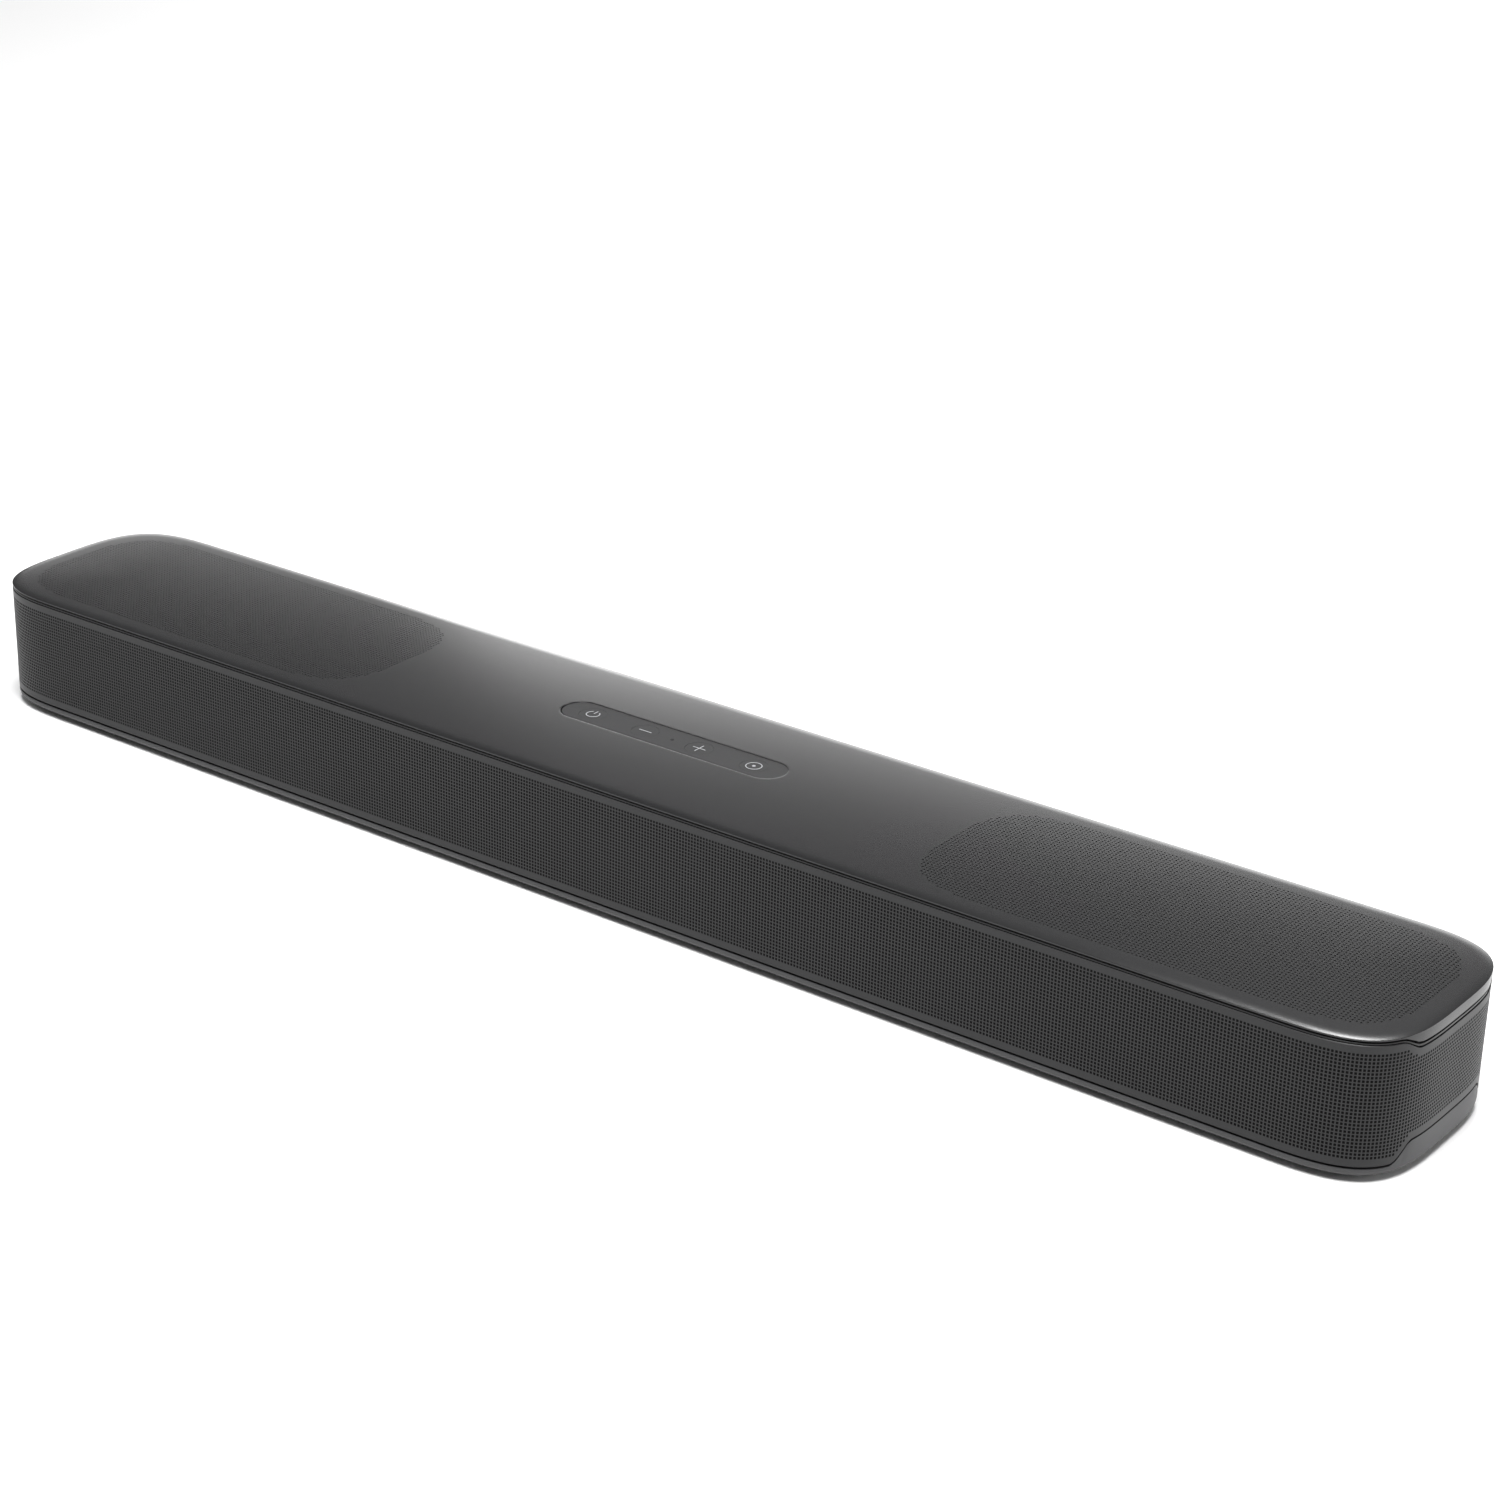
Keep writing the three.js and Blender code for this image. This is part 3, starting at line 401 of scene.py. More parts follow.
# Trim: ABS from a polished mould, so the line under the cover gleams where it turns to a light.
trim_gloss = surface(
    "polished_mould_abs", ("#0e0e0f", "#131314"), 0.3, 1.5 * MM, 0.002 * MM, ior=1.4
)
# Key mat: silicone rubber with a satin skin.
key_silicone = surface(
    "satin_silicone", ("#1b1b1c", "#202021"), 0.6, 0.4 * MM, 0.003 * MM, ior=1.41
)
# Icons: laser-cut through the silicone to a pale layer.
icon_pale = surface(
    "pale_silicone_icon", ("#8f9193", "#a3a5a7"), 0.5, 0.4 * MM, 0.002 * MM, ior=1.41
)
# Feet: moulded nitrile rubber, matt black.
foot_rubber = surface("matt_nitrile_rubber", ("#101010", "#1a1a1a"), 0.85, 0.6 * MM, 0.03 * MM)
# Inner parts: black ABS straight from the mould.
inner_abs = surface("black_moulded_abs", ("#141415", "#1d1d1e"), 0.55, 0.5 * MM, 0.015 * MM)
# Cloth: open acoustic cloth, black.
acoustic_cloth = surface(
    "black_acoustic_cloth", ("#060606", "#111111"), 0.95, 0.4 * MM, 0.05 * MM, ior=1.3
)
# Driver baskets: pressed steel, black e-coat.
basket_coat = surface("e_coated_steel", ("#17181a", "#222326"), 0.4, 0.7 * MM, 0.008 * MM)
# Surrounds: butyl rubber, slightly shiny where it rolls.
butyl_rubber = surface("butyl_rubber", ("#0d0d0d", "#151515"), 0.6, 0.8 * MM, 0.01 * MM)
# Cones: pressed paper pulp under a thin lacquer.
coated_pulp = surface("lacquered_pulp", ("#1d1f22", "#2b2d31"), 0.55, 0.9 * MM, 0.04 * MM)
# Sockets: stamped shells, nickel plated.
nickel_shell = surface(
    "nickel_plated_shell", ("#a8a9ab", "#bcbdbf"), 0.28, 1.2 * MM, 0.002 * MM, metallic=1.0
)
# Wall inserts: turned brass, gone a little dull.
turned_brass = surface(
    "turned_brass", ("#a78445", "#bb9a58"), 0.35, 0.5 * MM, 0.004 * MM, metallic=1.0
)
# Boards: glass fibre under green solder mask.
solder_mask = surface("green_solder_mask", ("#153f27", "#1d5233"), 0.35, 1.5 * MM, 0.004 * MM)
# Heat sink: extruded aluminium, left bright.
extruded_aluminium = surface(
    "extruded_aluminium", ("#8f9193", "#a5a7a9"), 0.4, 0.6 * MM, 0.006 * MM, metallic=1.0
)
# Transformer: enamelled copper under its tape.
enamelled_copper = surface(
    "enamelled_copper", ("#7a3d1d", "#97552c"), 0.35, 0.5 * MM, 0.03 * MM, metallic=0.8
)
# Light pipe: smoked acrylic, unlit.
smoked_acrylic = surface(
    "smoked_acrylic", ("#1b1b1c", "#252526"), 0.15, 1.5 * MM, 0.001 * MM, ior=1.49
)

SLOT_FINISHES = {
    "case_plastic": case_abs,
    "cover_plastic": cover_paint,
    "grille_steel": grille_coat,
    "acoustic_cloth": acoustic_cloth,
    "trim_plastic": trim_gloss,
    "inner_plastic": inner_abs,
    "foot_rubber": foot_rubber,
    "key_rubber": key_silicone,
    "light_pipe": smoked_acrylic,
    "brass": turned_brass,
    "circuit_board": solder_mask,
    "basket_steel": basket_coat,
    "surround_rubber": butyl_rubber,
    "cone_pulp": coated_pulp,
    "socket_shell": nickel_shell,
    "sink_aluminium": extruded_aluminium,
    "winding_copper": enamelled_copper,
}
for subpart in frame["record"]["subparts"]:
    node = frame["nodes"][subpart["node"]]
    node.data.materials.clear()
    node.data.materials.append(SLOT_FINISHES[subpart["material_slot"]])


# ------------------------------------------------------------------ top cover
ZONE_START = 141 * MM
ZONE_PITCH = 1.7 * MM  # as coarse as it has to be to show
ZONE_HOLE = 0.75 * MM
ZONE_PIT = 0.5 * MM
ZONE_RIM = 8.4 * MM  # from the casing's wall to the grid that carries the holes
ZONE_MARGIN = 0.6 * MM  # between the grid's edge and its outermost holes
ZONE_CORNER = 44 * MM
ZONE_POWER = 3.2
FIELD_HALF = HALF_DEPTH - ZONE_RIM
PLAIN_COLUMNS = 64
COVER_EDGE = 0.15 * MM
COVER_WALL = 2.2 * MM
COVER_TAPER = 0.3 * MM
COVER_UNDERSIDE = HEIGHT - 3 * MM
ROLL_LOOPS = (0.85, 0.7, 0.55, 0.4, 0.28, 0.18, 0.08)  # as shares of the roll's width
EDGE_STEPS = 6
SLOT_CENTRE = Vector((0, (strip_low.y + strip_high.y) / 2, 0))
SLOT_LENGTH = 113.5 * MM
SLOT_WIDTH = 18 * MM
SLOT_GAP = 0.3 * MM  # between the cover and the key mat
SLOT_LIP = 0.2 * MM
SLOT_BAND = 0.8 * MM  # a flat band round the lip
SLOT_LEVEL = HEIGHT - 0.5 * MM  # the first level line of the slot's wall, below its lip
SLOT_SEGMENTS = 120
OPENED_X = SLOT_LENGTH / 2 + 10 * MM  # how much of the grid is taken out round the slot
OPENED_Y = SLOT_WIDTH / 2 + 6 * MM


def crown_at(inset):
    """The cover's height at an inset from the casing's walls."""
    rolled = max(1 - inset / ROLL_WIDTH, 0.0)
    return HEIGHT - CROWN * (1 - inset / HALF_DEPTH) ** CROWN_POWER - ROLL * rolled ** 3


def crown_over(x, y):
    """The cover's height over a point, from the inset of the plan that passes through it."""
    beyond = max(abs(x) - CENTRE_X, 0.0)
    low, high = 0.0, HALF_DEPTH
    halvings = 24
    for _ in range(halvings):
        middle = (low + high) / 2
        reach = CORNER_LENGTH - middle
        half = HALF_DEPTH - middle
        measure = (beyond / reach) ** CORNER_POWER + (abs(y) / max(half, TINY)) ** CORNER_POWER
        low, high = (middle, high) if measure < 1 else (low, middle)
    return crown_at(low)


def field_half_width(x):
    """Half the width of the field inside the cover's plain rim, at a distance along the length."""
    beyond = (abs(x) - CENTRE_X) / (CORNER_LENGTH - ZONE_RIM)
    if beyond <= 0:
        return FIELD_HALF
    turn = math.acos(min(beyond, 1.0) ** (CORNER_POWER / 2))
    return FIELD_HALF * math.sin(turn) ** (2 / CORNER_POWER)


def in_zone(x, y):
    """Whether a point lies in the perforated field, whose two ends are squircles."""
    across = (abs(y) / (FIELD_HALF - ZONE_MARGIN)) ** ZONE_POWER
    outer = max(abs(x) - (END_X - ZONE_RIM - ZONE_MARGIN - ZONE_CORNER), 0) / ZONE_CORNER
    inner = max(ZONE_START + ZONE_CORNER - abs(x), 0) / ZONE_CORNER
    return across + max(outer, inner) ** ZONE_POWER < 1


def rim_station(x, y):
    """The station of a point on the field's edge."""
    if abs(x) <= CENTRE_X:
        return Vector((x, 0, math.copysign(1, y)))
    across = min(abs(y) / FIELD_HALF, 1.0)
    turn = math.asin(min(across ** (CORNER_POWER / 2), 1.0))
    station = corner_station(1, 1, turn)
    side_x, side_y = math.copysign(1, x), math.copysign(1, y)
    return Vector((side_x * CENTRE_X, side_x * station.y, side_y * station.z))


def cover_lines():
    """Where the lines of the cover's grid stand: its columns along X and its rows along Y."""
    zone_cells = int((END_X - ZONE_RIM - ZONE_START) / ZONE_PITCH)
    zone_end = ZONE_START + zone_cells * ZONE_PITCH
    zone = [ZONE_START, *hole_lines(ZONE_START, zone_cells, ZONE_PITCH, ZONE_HOLE), zone_end]
    plain = [ZONE_START * (i / PLAIN_COLUMNS * 2 - 1) for i in range(1, PLAIN_COLUMNS)]
    columns = [-x for x in reversed(zone)] + plain + zone
    row_cells = int(2 * FIELD_HALF / ZONE_PITCH)
    row_start = -row_cells * ZONE_PITCH / 2
    rows = [-FIELD_HALF, *hole_lines(row_start, row_cells, ZONE_PITCH, ZONE_HOLE), FIELD_HALF]
    return columns, rows


def cover_holes(columns, rows, lines):
    """The faces of the cover's grid that lie where its perforated fields have a hole."""
    found = []
    for c in range(len(columns) - 1):
        as_wide_as_a_hole = abs(columns[c + 1] - columns[c] - ZONE_HOLE) < 1e-7
        across = (columns[c] + columns[c + 1]) / 2
        for r in range(1, len(rows) - 2, 2):
            if as_wide_as_a_hole and in_zone(across, (rows[r] + rows[r + 1]) / 2):
                found.append(cell(lines, c, r))
    return found


def laid_on_crown(bm, columns, lines):
    """Draws the grid's edge in to the plain rim and lifts every vertex to the crown."""
    layer = bm.verts.layers.float_vector["station"]
    for x, line in zip(columns, lines):
        edge = field_half_width(x)
        squeezed = edge - ZONE_MARGIN
        for vert in line:
            y = vert.co.y
            if abs(y) > squeezed:
                share = (abs(y) - squeezed) / max(FIELD_HALF - squeezed, TINY)
                y = math.copysign(squeezed + share * (edge - squeezed), y)
            vert.co = Vector((x, y, crown_over(x, y)))
            vert[layer] = rim_station(x, y)


def build_cover():
    """The crowned skin with its holes and slot, its soft edge, its skirt and its inner side."""
    bm = new_mesh()
    columns, rows = cover_lines()
    lines = grid_of(bm, columns, rows)
    pits = cover_holes(columns, rows, lines)
    laid_on_crown(bm, columns, lines)
    inner = open_slot(bm)
    # each pit takes the cover's painted shade of a hole
    punch(bm, pits, ZONE_PIT)
    slot_edges = set(inner)
    loop = [e for e in bm.edges if len(e.link_faces) == 1 and e not in slot_edges]
    for share in ROLL_LOOPS:
        inset = ROLL_WIDTH * share
        loop = drawn_out(bm, loop, inset, crown_at(inset))
    edge_top = crown_at(COVER_EDGE)
    for turn in quarter_turn(EDGE_STEPS):
        z = edge_top - COVER_EDGE * (1 - math.cos(turn))
        loop = drawn_out(bm, loop, COVER_EDGE * (1 - math.sin(turn)), z)
    loop = drawn_out(bm, loop, 0, COVER_LIP)
    loop = drawn_out(bm, loop, COVER_WALL, COVER_LIP)
    loop = drawn_out(bm, loop, COVER_WALL + COVER_TAPER, COVER_UNDERSIDE)
    inner = lifted(bm, inner, SLOT_CENTRE, 0, SLOT_LEVEL)
    inner = lifted(bm, inner, SLOT_CENTRE, 0, COVER_UNDERSIDE)
    bmesh.ops.bridge_loops(bm, edges=loop + inner)
    finished(bm, "cover", [cover_paint, cover_hole_painted_shade], "casing", ["top_cover"])


def open_slot(bm):
    """Opens the cover's middle and closes it again round the key strip's slot, with a soft lip."""
    inside = []
    for face in bm.faces:
        middle = face.calc_center_median()
        if abs(middle.x) < OPENED_X and abs(middle.y - SLOT_CENTRE.y) < OPENED_Y:
            inside.append(face)
    chosen = set(inside)
    rim = [e for f in inside for e in f.edges if any(g not in chosen for g in e.link_faces)]
    bmesh.ops.delete(bm, geom=inside, context="FACES")
    reach = 2 * (SLOT_LIP + SLOT_BAND)
    outer = stadium_loop(bm, SLOT_CENTRE, SLOT_LENGTH + reach, SLOT_WIDTH + reach, 0, SLOT_SEGMENTS)
    bmesh.ops.bridge_loops(bm, edges=rim + outer)
    sunk_below_crown(outer, 0)
    loop = lifted(bm, outer, SLOT_CENTRE, -SLOT_BAND, 0)
    sunk_below_crown(loop, 0)
    turns = quarter_turn(EDGE_STEPS)
    for before, turn in zip(turns, turns[1:]):
        grow = SLOT_LIP * (math.sin(before) - math.sin(turn))
        loop = lifted(bm, loop, SLOT_CENTRE, grow, 0)
        sunk_below_crown(loop, SLOT_LIP * (1 - math.cos(turn)))
    return loop


def sunk_below_crown(edges, drop):
    """Sets a loop's vertices this far below the cover's height over them."""
    for vert in {v for e in edges for v in e.verts}:
        vert.co.z = crown_over(vert.co.x, vert.co.y) - drop


build_cover()


# ------------------------------------------------------------------ grille
GRILLE_PITCH = 1.45 * MM  # the sheet's is 1.25 mm, drawn a little coarser so that it shows
GRILLE_HOLE = 0.92 * MM
GRILLE_PIT = 0.55 * MM
GRILLE_WALL = 0.9 * MM
GRILLE_SOFT = 0.2 * MM
GRILLE_BAND = 2.5 * MM  # plain sheet above and below the holes
GRILLE_END = walk_to(grille_high.y)


def squeezed_height(z, station):
    """Where a row of the grille lies once its edges have stepped in at the ends."""
    low, high = stepped(station, GRILLE_LOW), stepped(station, GRILLE_HIGH)
    if z > high - GRILLE_BAND:
        share = (z - (high - GRILLE_BAND)) / (GRILLE_HIGH[0] - (high - GRILLE_BAND))
        return high - GRILLE_BAND + share * GRILLE_BAND
    if z < low + GRILLE_BAND:
        share = (low + GRILLE_BAND - z) / (low + GRILLE_BAND - GRILLE_LOW[0])
        return low + GRILLE_BAND - share * GRILLE_BAND
    return z


def grille_lines():
    """Where the lines of the grille's sheet stand: columns by their walk, and rows by height."""
    cells = int(2 * GRILLE_END / GRILLE_PITCH)
    start = -cells * GRILLE_PITCH / 2
    columns = [-GRILLE_END, *hole_lines(start, cells, GRILLE_PITCH, GRILLE_HOLE), GRILLE_END]
    low, high = GRILLE_LOW[0], GRILLE_HIGH[0]
    row_cells = int((high - low - 2 * GRILLE_BAND) / GRILLE_PITCH)
    row_start = (low + high) / 2 - row_cells * GRILLE_PITCH / 2
    holes = hole_lines(row_start, row_cells, GRILLE_PITCH, GRILLE_HOLE)
    rows = [low, low + GRILLE_SOFT, *holes, high - GRILLE_SOFT, high]
    return columns, rows


def grille_holes(stations, rows, lines):
    """The faces of the sheet that are holes: all but those in the plain bands at its edges."""
    found = []
    for c in range(1, len(stations) - 2, 2):
        top = stepped(stations[c], GRILLE_HIGH) - GRILLE_BAND
        bottom = stepped(stations[c], GRILLE_LOW) + GRILLE_BAND
        for r in range(2, len(rows) - 3, 2):
            if rows[r] > bottom and rows[r + 1] < top:
                found.append(cell(lines, c, r))
    return found


def build_grille():
    """A flat sheet wrapped round the front and both ends, with its holes and its thickness."""
    bm = new_mesh()
    layer = bm.verts.layers.float_vector["station"]
    columns, rows = grille_lines()
    lines = grid_of(bm, columns, rows)
    stations = [station_at(walked) for walked in columns]
    pits = grille_holes(stations, rows, lines)
    for station, line in zip(stations, lines):
        for z, vert in zip(rows, line):
            vert[layer] = station
            inset = GRILLE_SOFT if z in (rows[0], rows[-1]) else 0.0
            vert.co = place(station, inset, squeezed_height(z, station))
    # each pit takes the near-black of a hole: the black cloth behind it, and painted shade
    punch(bm, pits, -GRILLE_PIT)  # the flat sheet's faces look inwards once it is wrapped
    lower = edges_within([line[0] for line in lines])
    upper = edges_within([line[-1] for line in lines])
    inner = drawn_out(bm, lower, GRILLE_WALL, GRILLE_LOW)
    inner += drawn_out(bm, upper, GRILLE_WALL, GRILLE_HIGH)
    corners = {lines[0][0], lines[0][-1], lines[-1][0], lines[-1][-1]}
    chains = [e for e in inner if not any(v in corners for v in e.verts)]
    bmesh.ops.bridge_loops(bm, edges=chains)
    bmesh.ops.holes_fill(bm, edges=[e for e in bm.edges if len(e.link_faces) == 1], sides=0)
    finished(bm, "grille", [grille_coat, hole_cloth_and_shade], "casing", ["front_grille"])


build_grille()


# ------------------------------------------------------------------ trim strip and bottom case
ROUND_COUNT = 620  # segments of a loop round the whole plan


def hoop(bm, profile):
    """A closed band round the plan, through a profile of insets and heights."""
    first = plan_loop(bm, ROUND_COUNT, *profile[0])
    loop = first
    for inset, heights in profile[1:]:
        loop = drawn_out(bm, loop, inset, heights)
    bmesh.ops.bridge_loops(bm, edges=first + loop)


def shifted(heights, rise):
    """A seam's two heights, both raised."""
    return tuple(z + rise for z in heights)


def build_trim():
    bm = new_mesh()
    soft = 0.15 * MM
    face = 0.3 * MM
    deep = 1.9 * MM
    hoop(bm, [
        (face + soft, TRIM_LOW),
        (face, shifted(TRIM_LOW, soft)),
        (face, shifted(TRIM_HIGH, -soft)),
        (face + soft, TRIM_HIGH),
        (deep, TRIM_HIGH),
        (deep, TRIM_LOW),
    ])
    finished(bm, "trim", [trim_gloss], "casing", ["trim_strip"])


def build_case():
    bm = new_mesh()
    curve_in, curve_up = 3.5 * MM, 2.6 * MM
    curve_steps = 8
    flat_band = 1.5 * MM
    wall = 2.4 * MM
    soft = 0.25 * MM
    loop = plan_loop(bm, ROUND_COUNT, curve_in + flat_band, FOOT_TOP)
    cap(bm, loop)
    for turn in quarter_turn(curve_steps):
        z = FOOT_TOP + curve_up * (1 - math.cos(turn))
        loop = drawn_out(bm, loop, curve_in * (1 - math.sin(turn)), z)
    for inset, heights in (
        (0, shifted(RIM, -soft)),
        (soft / 3, shifted(RIM, -soft / 3)),
        (soft, RIM),
        (wall, RIM),
        (wall, FOOT_TOP + curve_up),
        (curve_in, FOOT_TOP + wall),
    ):
        loop = drawn_out(bm, loop, inset, heights)
    cap(bm, loop)
    finished(bm, "case_tray", [case_abs], "casing", ["bottom_case"])


build_trim()
build_case()


# ------------------------------------------------------------------ rear wall
REAR_THICK = 2.4 * MM
REAR_SOFT = 0.25 * MM
REAR_COLUMN = 3 * MM
BAY_GAP = 0.3 * MM
BAY_HALF = (bay_high.x - bay_low.x) / 2 + BAY_GAP
INSERT_HOLE = 4.3 * MM
PATCH = 9 * MM  # half the side of the square that is taken out round a wall insert
insert_low, insert_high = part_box("wall_insert_right")
INSERT_X = (insert_low.x + insert_high.x) / 2
INSERT_Z = (insert_low.z + insert_high.z) / 2


def rear_columns():
    """How far round the plan each column of the rear wall lies, with one at each opening's side."""
    start, end = walk_to(rear_low.y), GIRTH - walk_to(rear_low.y)
    spots = [0.0, *sorted({BAY_HALF, INSERT_X - PATCH, INSERT_X + PATCH}), (end - start) / 2]
    right = [0.0]
    for near, far in zip(spots, spots[1:]):
        parts = max(1, round((far - near) / REAR_COLUMN))
        right += [near + (far - near) * (i + 1) / parts for i in range(parts)]
    middle = GIRTH / 2
    return [middle - x for x in reversed(right[1:])] + [middle + x for x in right]


def cut_openings(bm, bay_bottom, bay_top):
    """Takes out the faces over the connector bay and round each wall insert."""
    gone = set()
    for face in bm.faces:
        at = face.calc_center_median()
        if abs(at.x) < BAY_HALF and bay_bottom < at.z < bay_top:
            gone.add(face)
        if abs(abs(at.x) - INSERT_X) < PATCH and abs(at.z - INSERT_Z) < PATCH and at.y > 0:
            gone.add(face)
    bmesh.ops.delete(bm, geom=list(gone), context="FACES")


def close_round_insert(bm, x):
    """Closes the square opening at this x again, but for a round hole."""
    layer = bm.verts.layers.float_vector["station"]
    hole = bmesh.ops.create_circle(bm, segments=40, radius=INSERT_HOLE, cap_ends=False)["verts"]
    upright = Matrix.Rotation(math.pi / 2, 4, "X")
    for vert in hole:
        vert.co = upright @ vert.co + Vector((x, HALF_DEPTH, INSERT_Z))
        vert[layer] = Vector((vert.co.x, 0, 1))
    reach = PATCH * 1.01
    around = [
        e for e in bm.edges
        if len(e.link_faces) == 1
        and all(abs(v.co.x - x) < reach and abs(v.co.z - INSERT_Z) < reach for v in e.verts)
    ]
    rims = edges_within(hole) + around
    bmesh.ops.triangle_fill(bm, use_beauty=True, use_dissolve=False, edges=rims, normal=(0, 1, 0))


def build_rear():
    """A flat sheet wrapped round the back, with its openings and its thickness."""
    bm = new_mesh()
    layer = bm.verts.layers.float_vector["station"]
    columns = rear_columns()
    low, high = rear_low.z, rear_high.z
    bay_bottom, bay_top = bay_low.z - BAY_GAP, bay_high.z + BAY_GAP
    insert_rows = [INSERT_Z - PATCH, INSERT_Z + PATCH]
    rows = [low, low + REAR_SOFT, bay_bottom, *insert_rows, bay_top, high - REAR_SOFT, high]
    lines = grid_of(bm, columns, rows)
    for walked, line in zip(columns, lines):
        station = station_at(walked)
        for z, vert in zip(rows, line):
            vert[layer] = station
            vert.co = place(station, REAR_SOFT if z in (low, high) else 0.0, z)
    cut_openings(bm, bay_bottom, bay_top)
    for side in (-1, 1):
        close_round_insert(bm, side * INSERT_X)
    skin = [*bm.faces, *bm.edges]
    made = bmesh.ops.extrude_face_region(bm, geom=skin, use_keep_orig=True)["geom"]
    for vert in [g for g in made if isinstance(g, bmesh.types.BMVert)]:
        vert.co = place(station_of(bm, vert), REAR_THICK, vert.co.z)
    finished(bm, "rear_shell", [case_abs], "casing", ["rear_wall"])


build_rear()


# ------------------------------------------------------------------ key strip, keys and icons
KEY_RADIUS = 6 * MM
KEY_GAP = 0.05 * MM  # between a key and the mat round it
KEY_SEGMENTS = 64
KEY_SOFT = (0.1 * MM, 0.08 * MM)  # how far a key's rounded edge reaches in and down
KEY_SIDE = 0.6 * MM
KEY_WELL = 1.2 * MM
MAT_FLANGE = 2 * MM  # the flange's width under the cover, and its thickness
MAT_CENTRE = SLOT_CENTRE + Vector((0.2 * MM, 0.25 * MM, 0))  # it rests against the slot's rear side
STRIP_TOP = strip_high.z + 0.3 * MM
ICON_RISE = 0.12 * MM
ICON_ROOT = 0.05 * MM  # how deep an icon sits in its key
ICON_SOFT = 0.1 * MM
ICON_LINE = 0.42 * MM
ICON_WIDTH = 6.4 * MM
POWER_RADIUS = 2.85 * MM
POWER_STROKE = 3 * MM
POWER_STROKE_AT = Vector((0, 2 * MM, 0))
SOURCE_RADIUS = 3.3 * MM
SOURCE_DOT = 1.5 * MM
KEYS = ("power", "volume_down", "volume_up", "source")


def build_key_mat():
    """The strip with its flange, and a round well for each key."""
    bm = bmesh.new()
    length, width = SLOT_LENGTH - 2 * SLOT_GAP, SLOT_WIDTH - 2 * SLOT_GAP
    outer = stadium_loop(bm, MAT_CENTRE, length, width, STRIP_TOP, 96)
    low = lifted(bm, outer, MAT_CENTRE, 0, strip_low.z + MAT_FLANGE)
    low = lifted(bm, low, MAT_CENTRE, MAT_FLANGE, strip_low.z + MAT_FLANGE)
    low = lifted(bm, low, MAT_CENTRE, 0, strip_low.z)
    cap(bm, low)
    holes = []
    for key in KEYS:
        centre = middle_of(f"key_{key}")
        ring = circle_loop(bm, centre, KEY_RADIUS + KEY_GAP, STRIP_TOP, KEY_SEGMENTS)
        holes.append((centre, ring))
    rims = outer + [edge for _, ring in holes for edge in ring]
    bmesh.ops.triangle_fill(bm, use_beauty=True, use_dissolve=False, edges=rims, normal=(0, 0, 1))
    for centre, ring in holes:
        cap(bm, lifted(bm, ring, centre, 0, STRIP_TOP - KEY_WELL))
    finished(bm, "key_mat", [key_silicone], "casing", ["keypad_strip"])


def build_key(key):
    bm = bmesh.new()
    centre = middle_of(f"key_{key}")
    soft_in, soft_down = KEY_SOFT
    loop = circle_loop(bm, centre, KEY_RADIUS - soft_in, STRIP_TOP, KEY_SEGMENTS)
    cap(bm, loop)
    loop = lifted(bm, loop, centre, soft_in, STRIP_TOP - soft_down)
    loop = lifted(bm, loop, centre, 0, STRIP_TOP - KEY_SIDE)
    cap(bm, loop)
    finished(bm, f"key_cap_{key}", [key_silicone], f"key_{key}_body", [f"key_{key}"])


def bar(bm, centre, length, width, angle=0.0):
    """A raised bar with round ends, on the key's face."""
    origin = Vector((0, 0, 0))
    loop = stadium_loop(bm, origin, length, width, STRIP_TOP - ICON_ROOT, 24)
    cap(bm, loop)
    loop = lifted(bm, loop, origin, 0, STRIP_TOP + ICON_RISE - ICON_SOFT)
    loop = lifted(bm, loop, origin, -ICON_SOFT, STRIP_TOP + ICON_RISE)
    cap(bm, loop)
    verts = connected(loop)
    bmesh.ops.rotate(bm, verts=verts, cent=(0, 0, 0), matrix=Matrix.Rotation(angle, 3, "Z"))
    bmesh.ops.translate(bm, verts=verts, vec=(centre.x, centre.y, 0))


def connected(edges):
    """Every vertex joined to these edges."""
    found = {v for e in edges for v in e.verts}
    front = list(found)
    while front:
        for edge in front.pop().link_edges:
            for vert in edge.verts:
                if vert not in found:
                    found.add(vert)
                    front.append(vert)
    return list(found)


def arc(bm, centre, radius, start, sweep, steps):
    """A raised ring, or part of one, swept round the key's middle."""
    full = sweep > 2 * math.pi - 1e-6
    foot = STRIP_TOP - ICON_ROOT
    tall = ICON_RISE + ICON_ROOT
    made = bmesh.ops.create_circle(bm, segments=8, radius=0.5, cap_ends=not full)
    section = made["verts"]
    for vert in section:
        x = centre.x + radius + vert.co.x * ICON_LINE
        vert.co = Vector((x, centre.y, foot + (vert.co.y + 0.5) * tall))
    axis = (centre.x, centre.y, 0)
    bmesh.ops.rotate(bm, verts=section, cent=axis, matrix=Matrix.Rotation(start, 3, "Z"))
    ends = [] if full else list(section[0].link_faces)
    bmesh.ops.spin(
        bm, geom=edges_within(section) + ends, cent=axis, axis=(0, 0, 1), angle=sweep, steps=steps,
        use_merge=full, use_duplicate=False,
    )


def build_icon(key, draw):
    bm = bmesh.new()
    draw(bm, middle_of(f"key_{key}"))
    bmesh.ops.remove_doubles(bm, verts=bm.verts, dist=1e-7)
    finished(bm, f"icon_{key}", [icon_pale], f"key_{key}_body")


def draw_power(bm, centre):
    """A ring that is open at the top, with a stroke in its gap."""
    arc(bm, centre, POWER_RADIUS, math.radians(125), math.radians(290), 44)
    bar(bm, centre + POWER_STROKE_AT, POWER_STROKE, ICON_LINE, math.pi / 2)


def draw_minus(bm, centre):
    bar(bm, centre, ICON_WIDTH, ICON_LINE)


def draw_plus(bm, centre):
    bar(bm, centre, ICON_WIDTH, ICON_LINE)
    bar(bm, centre, ICON_WIDTH, ICON_LINE, math.pi / 2)


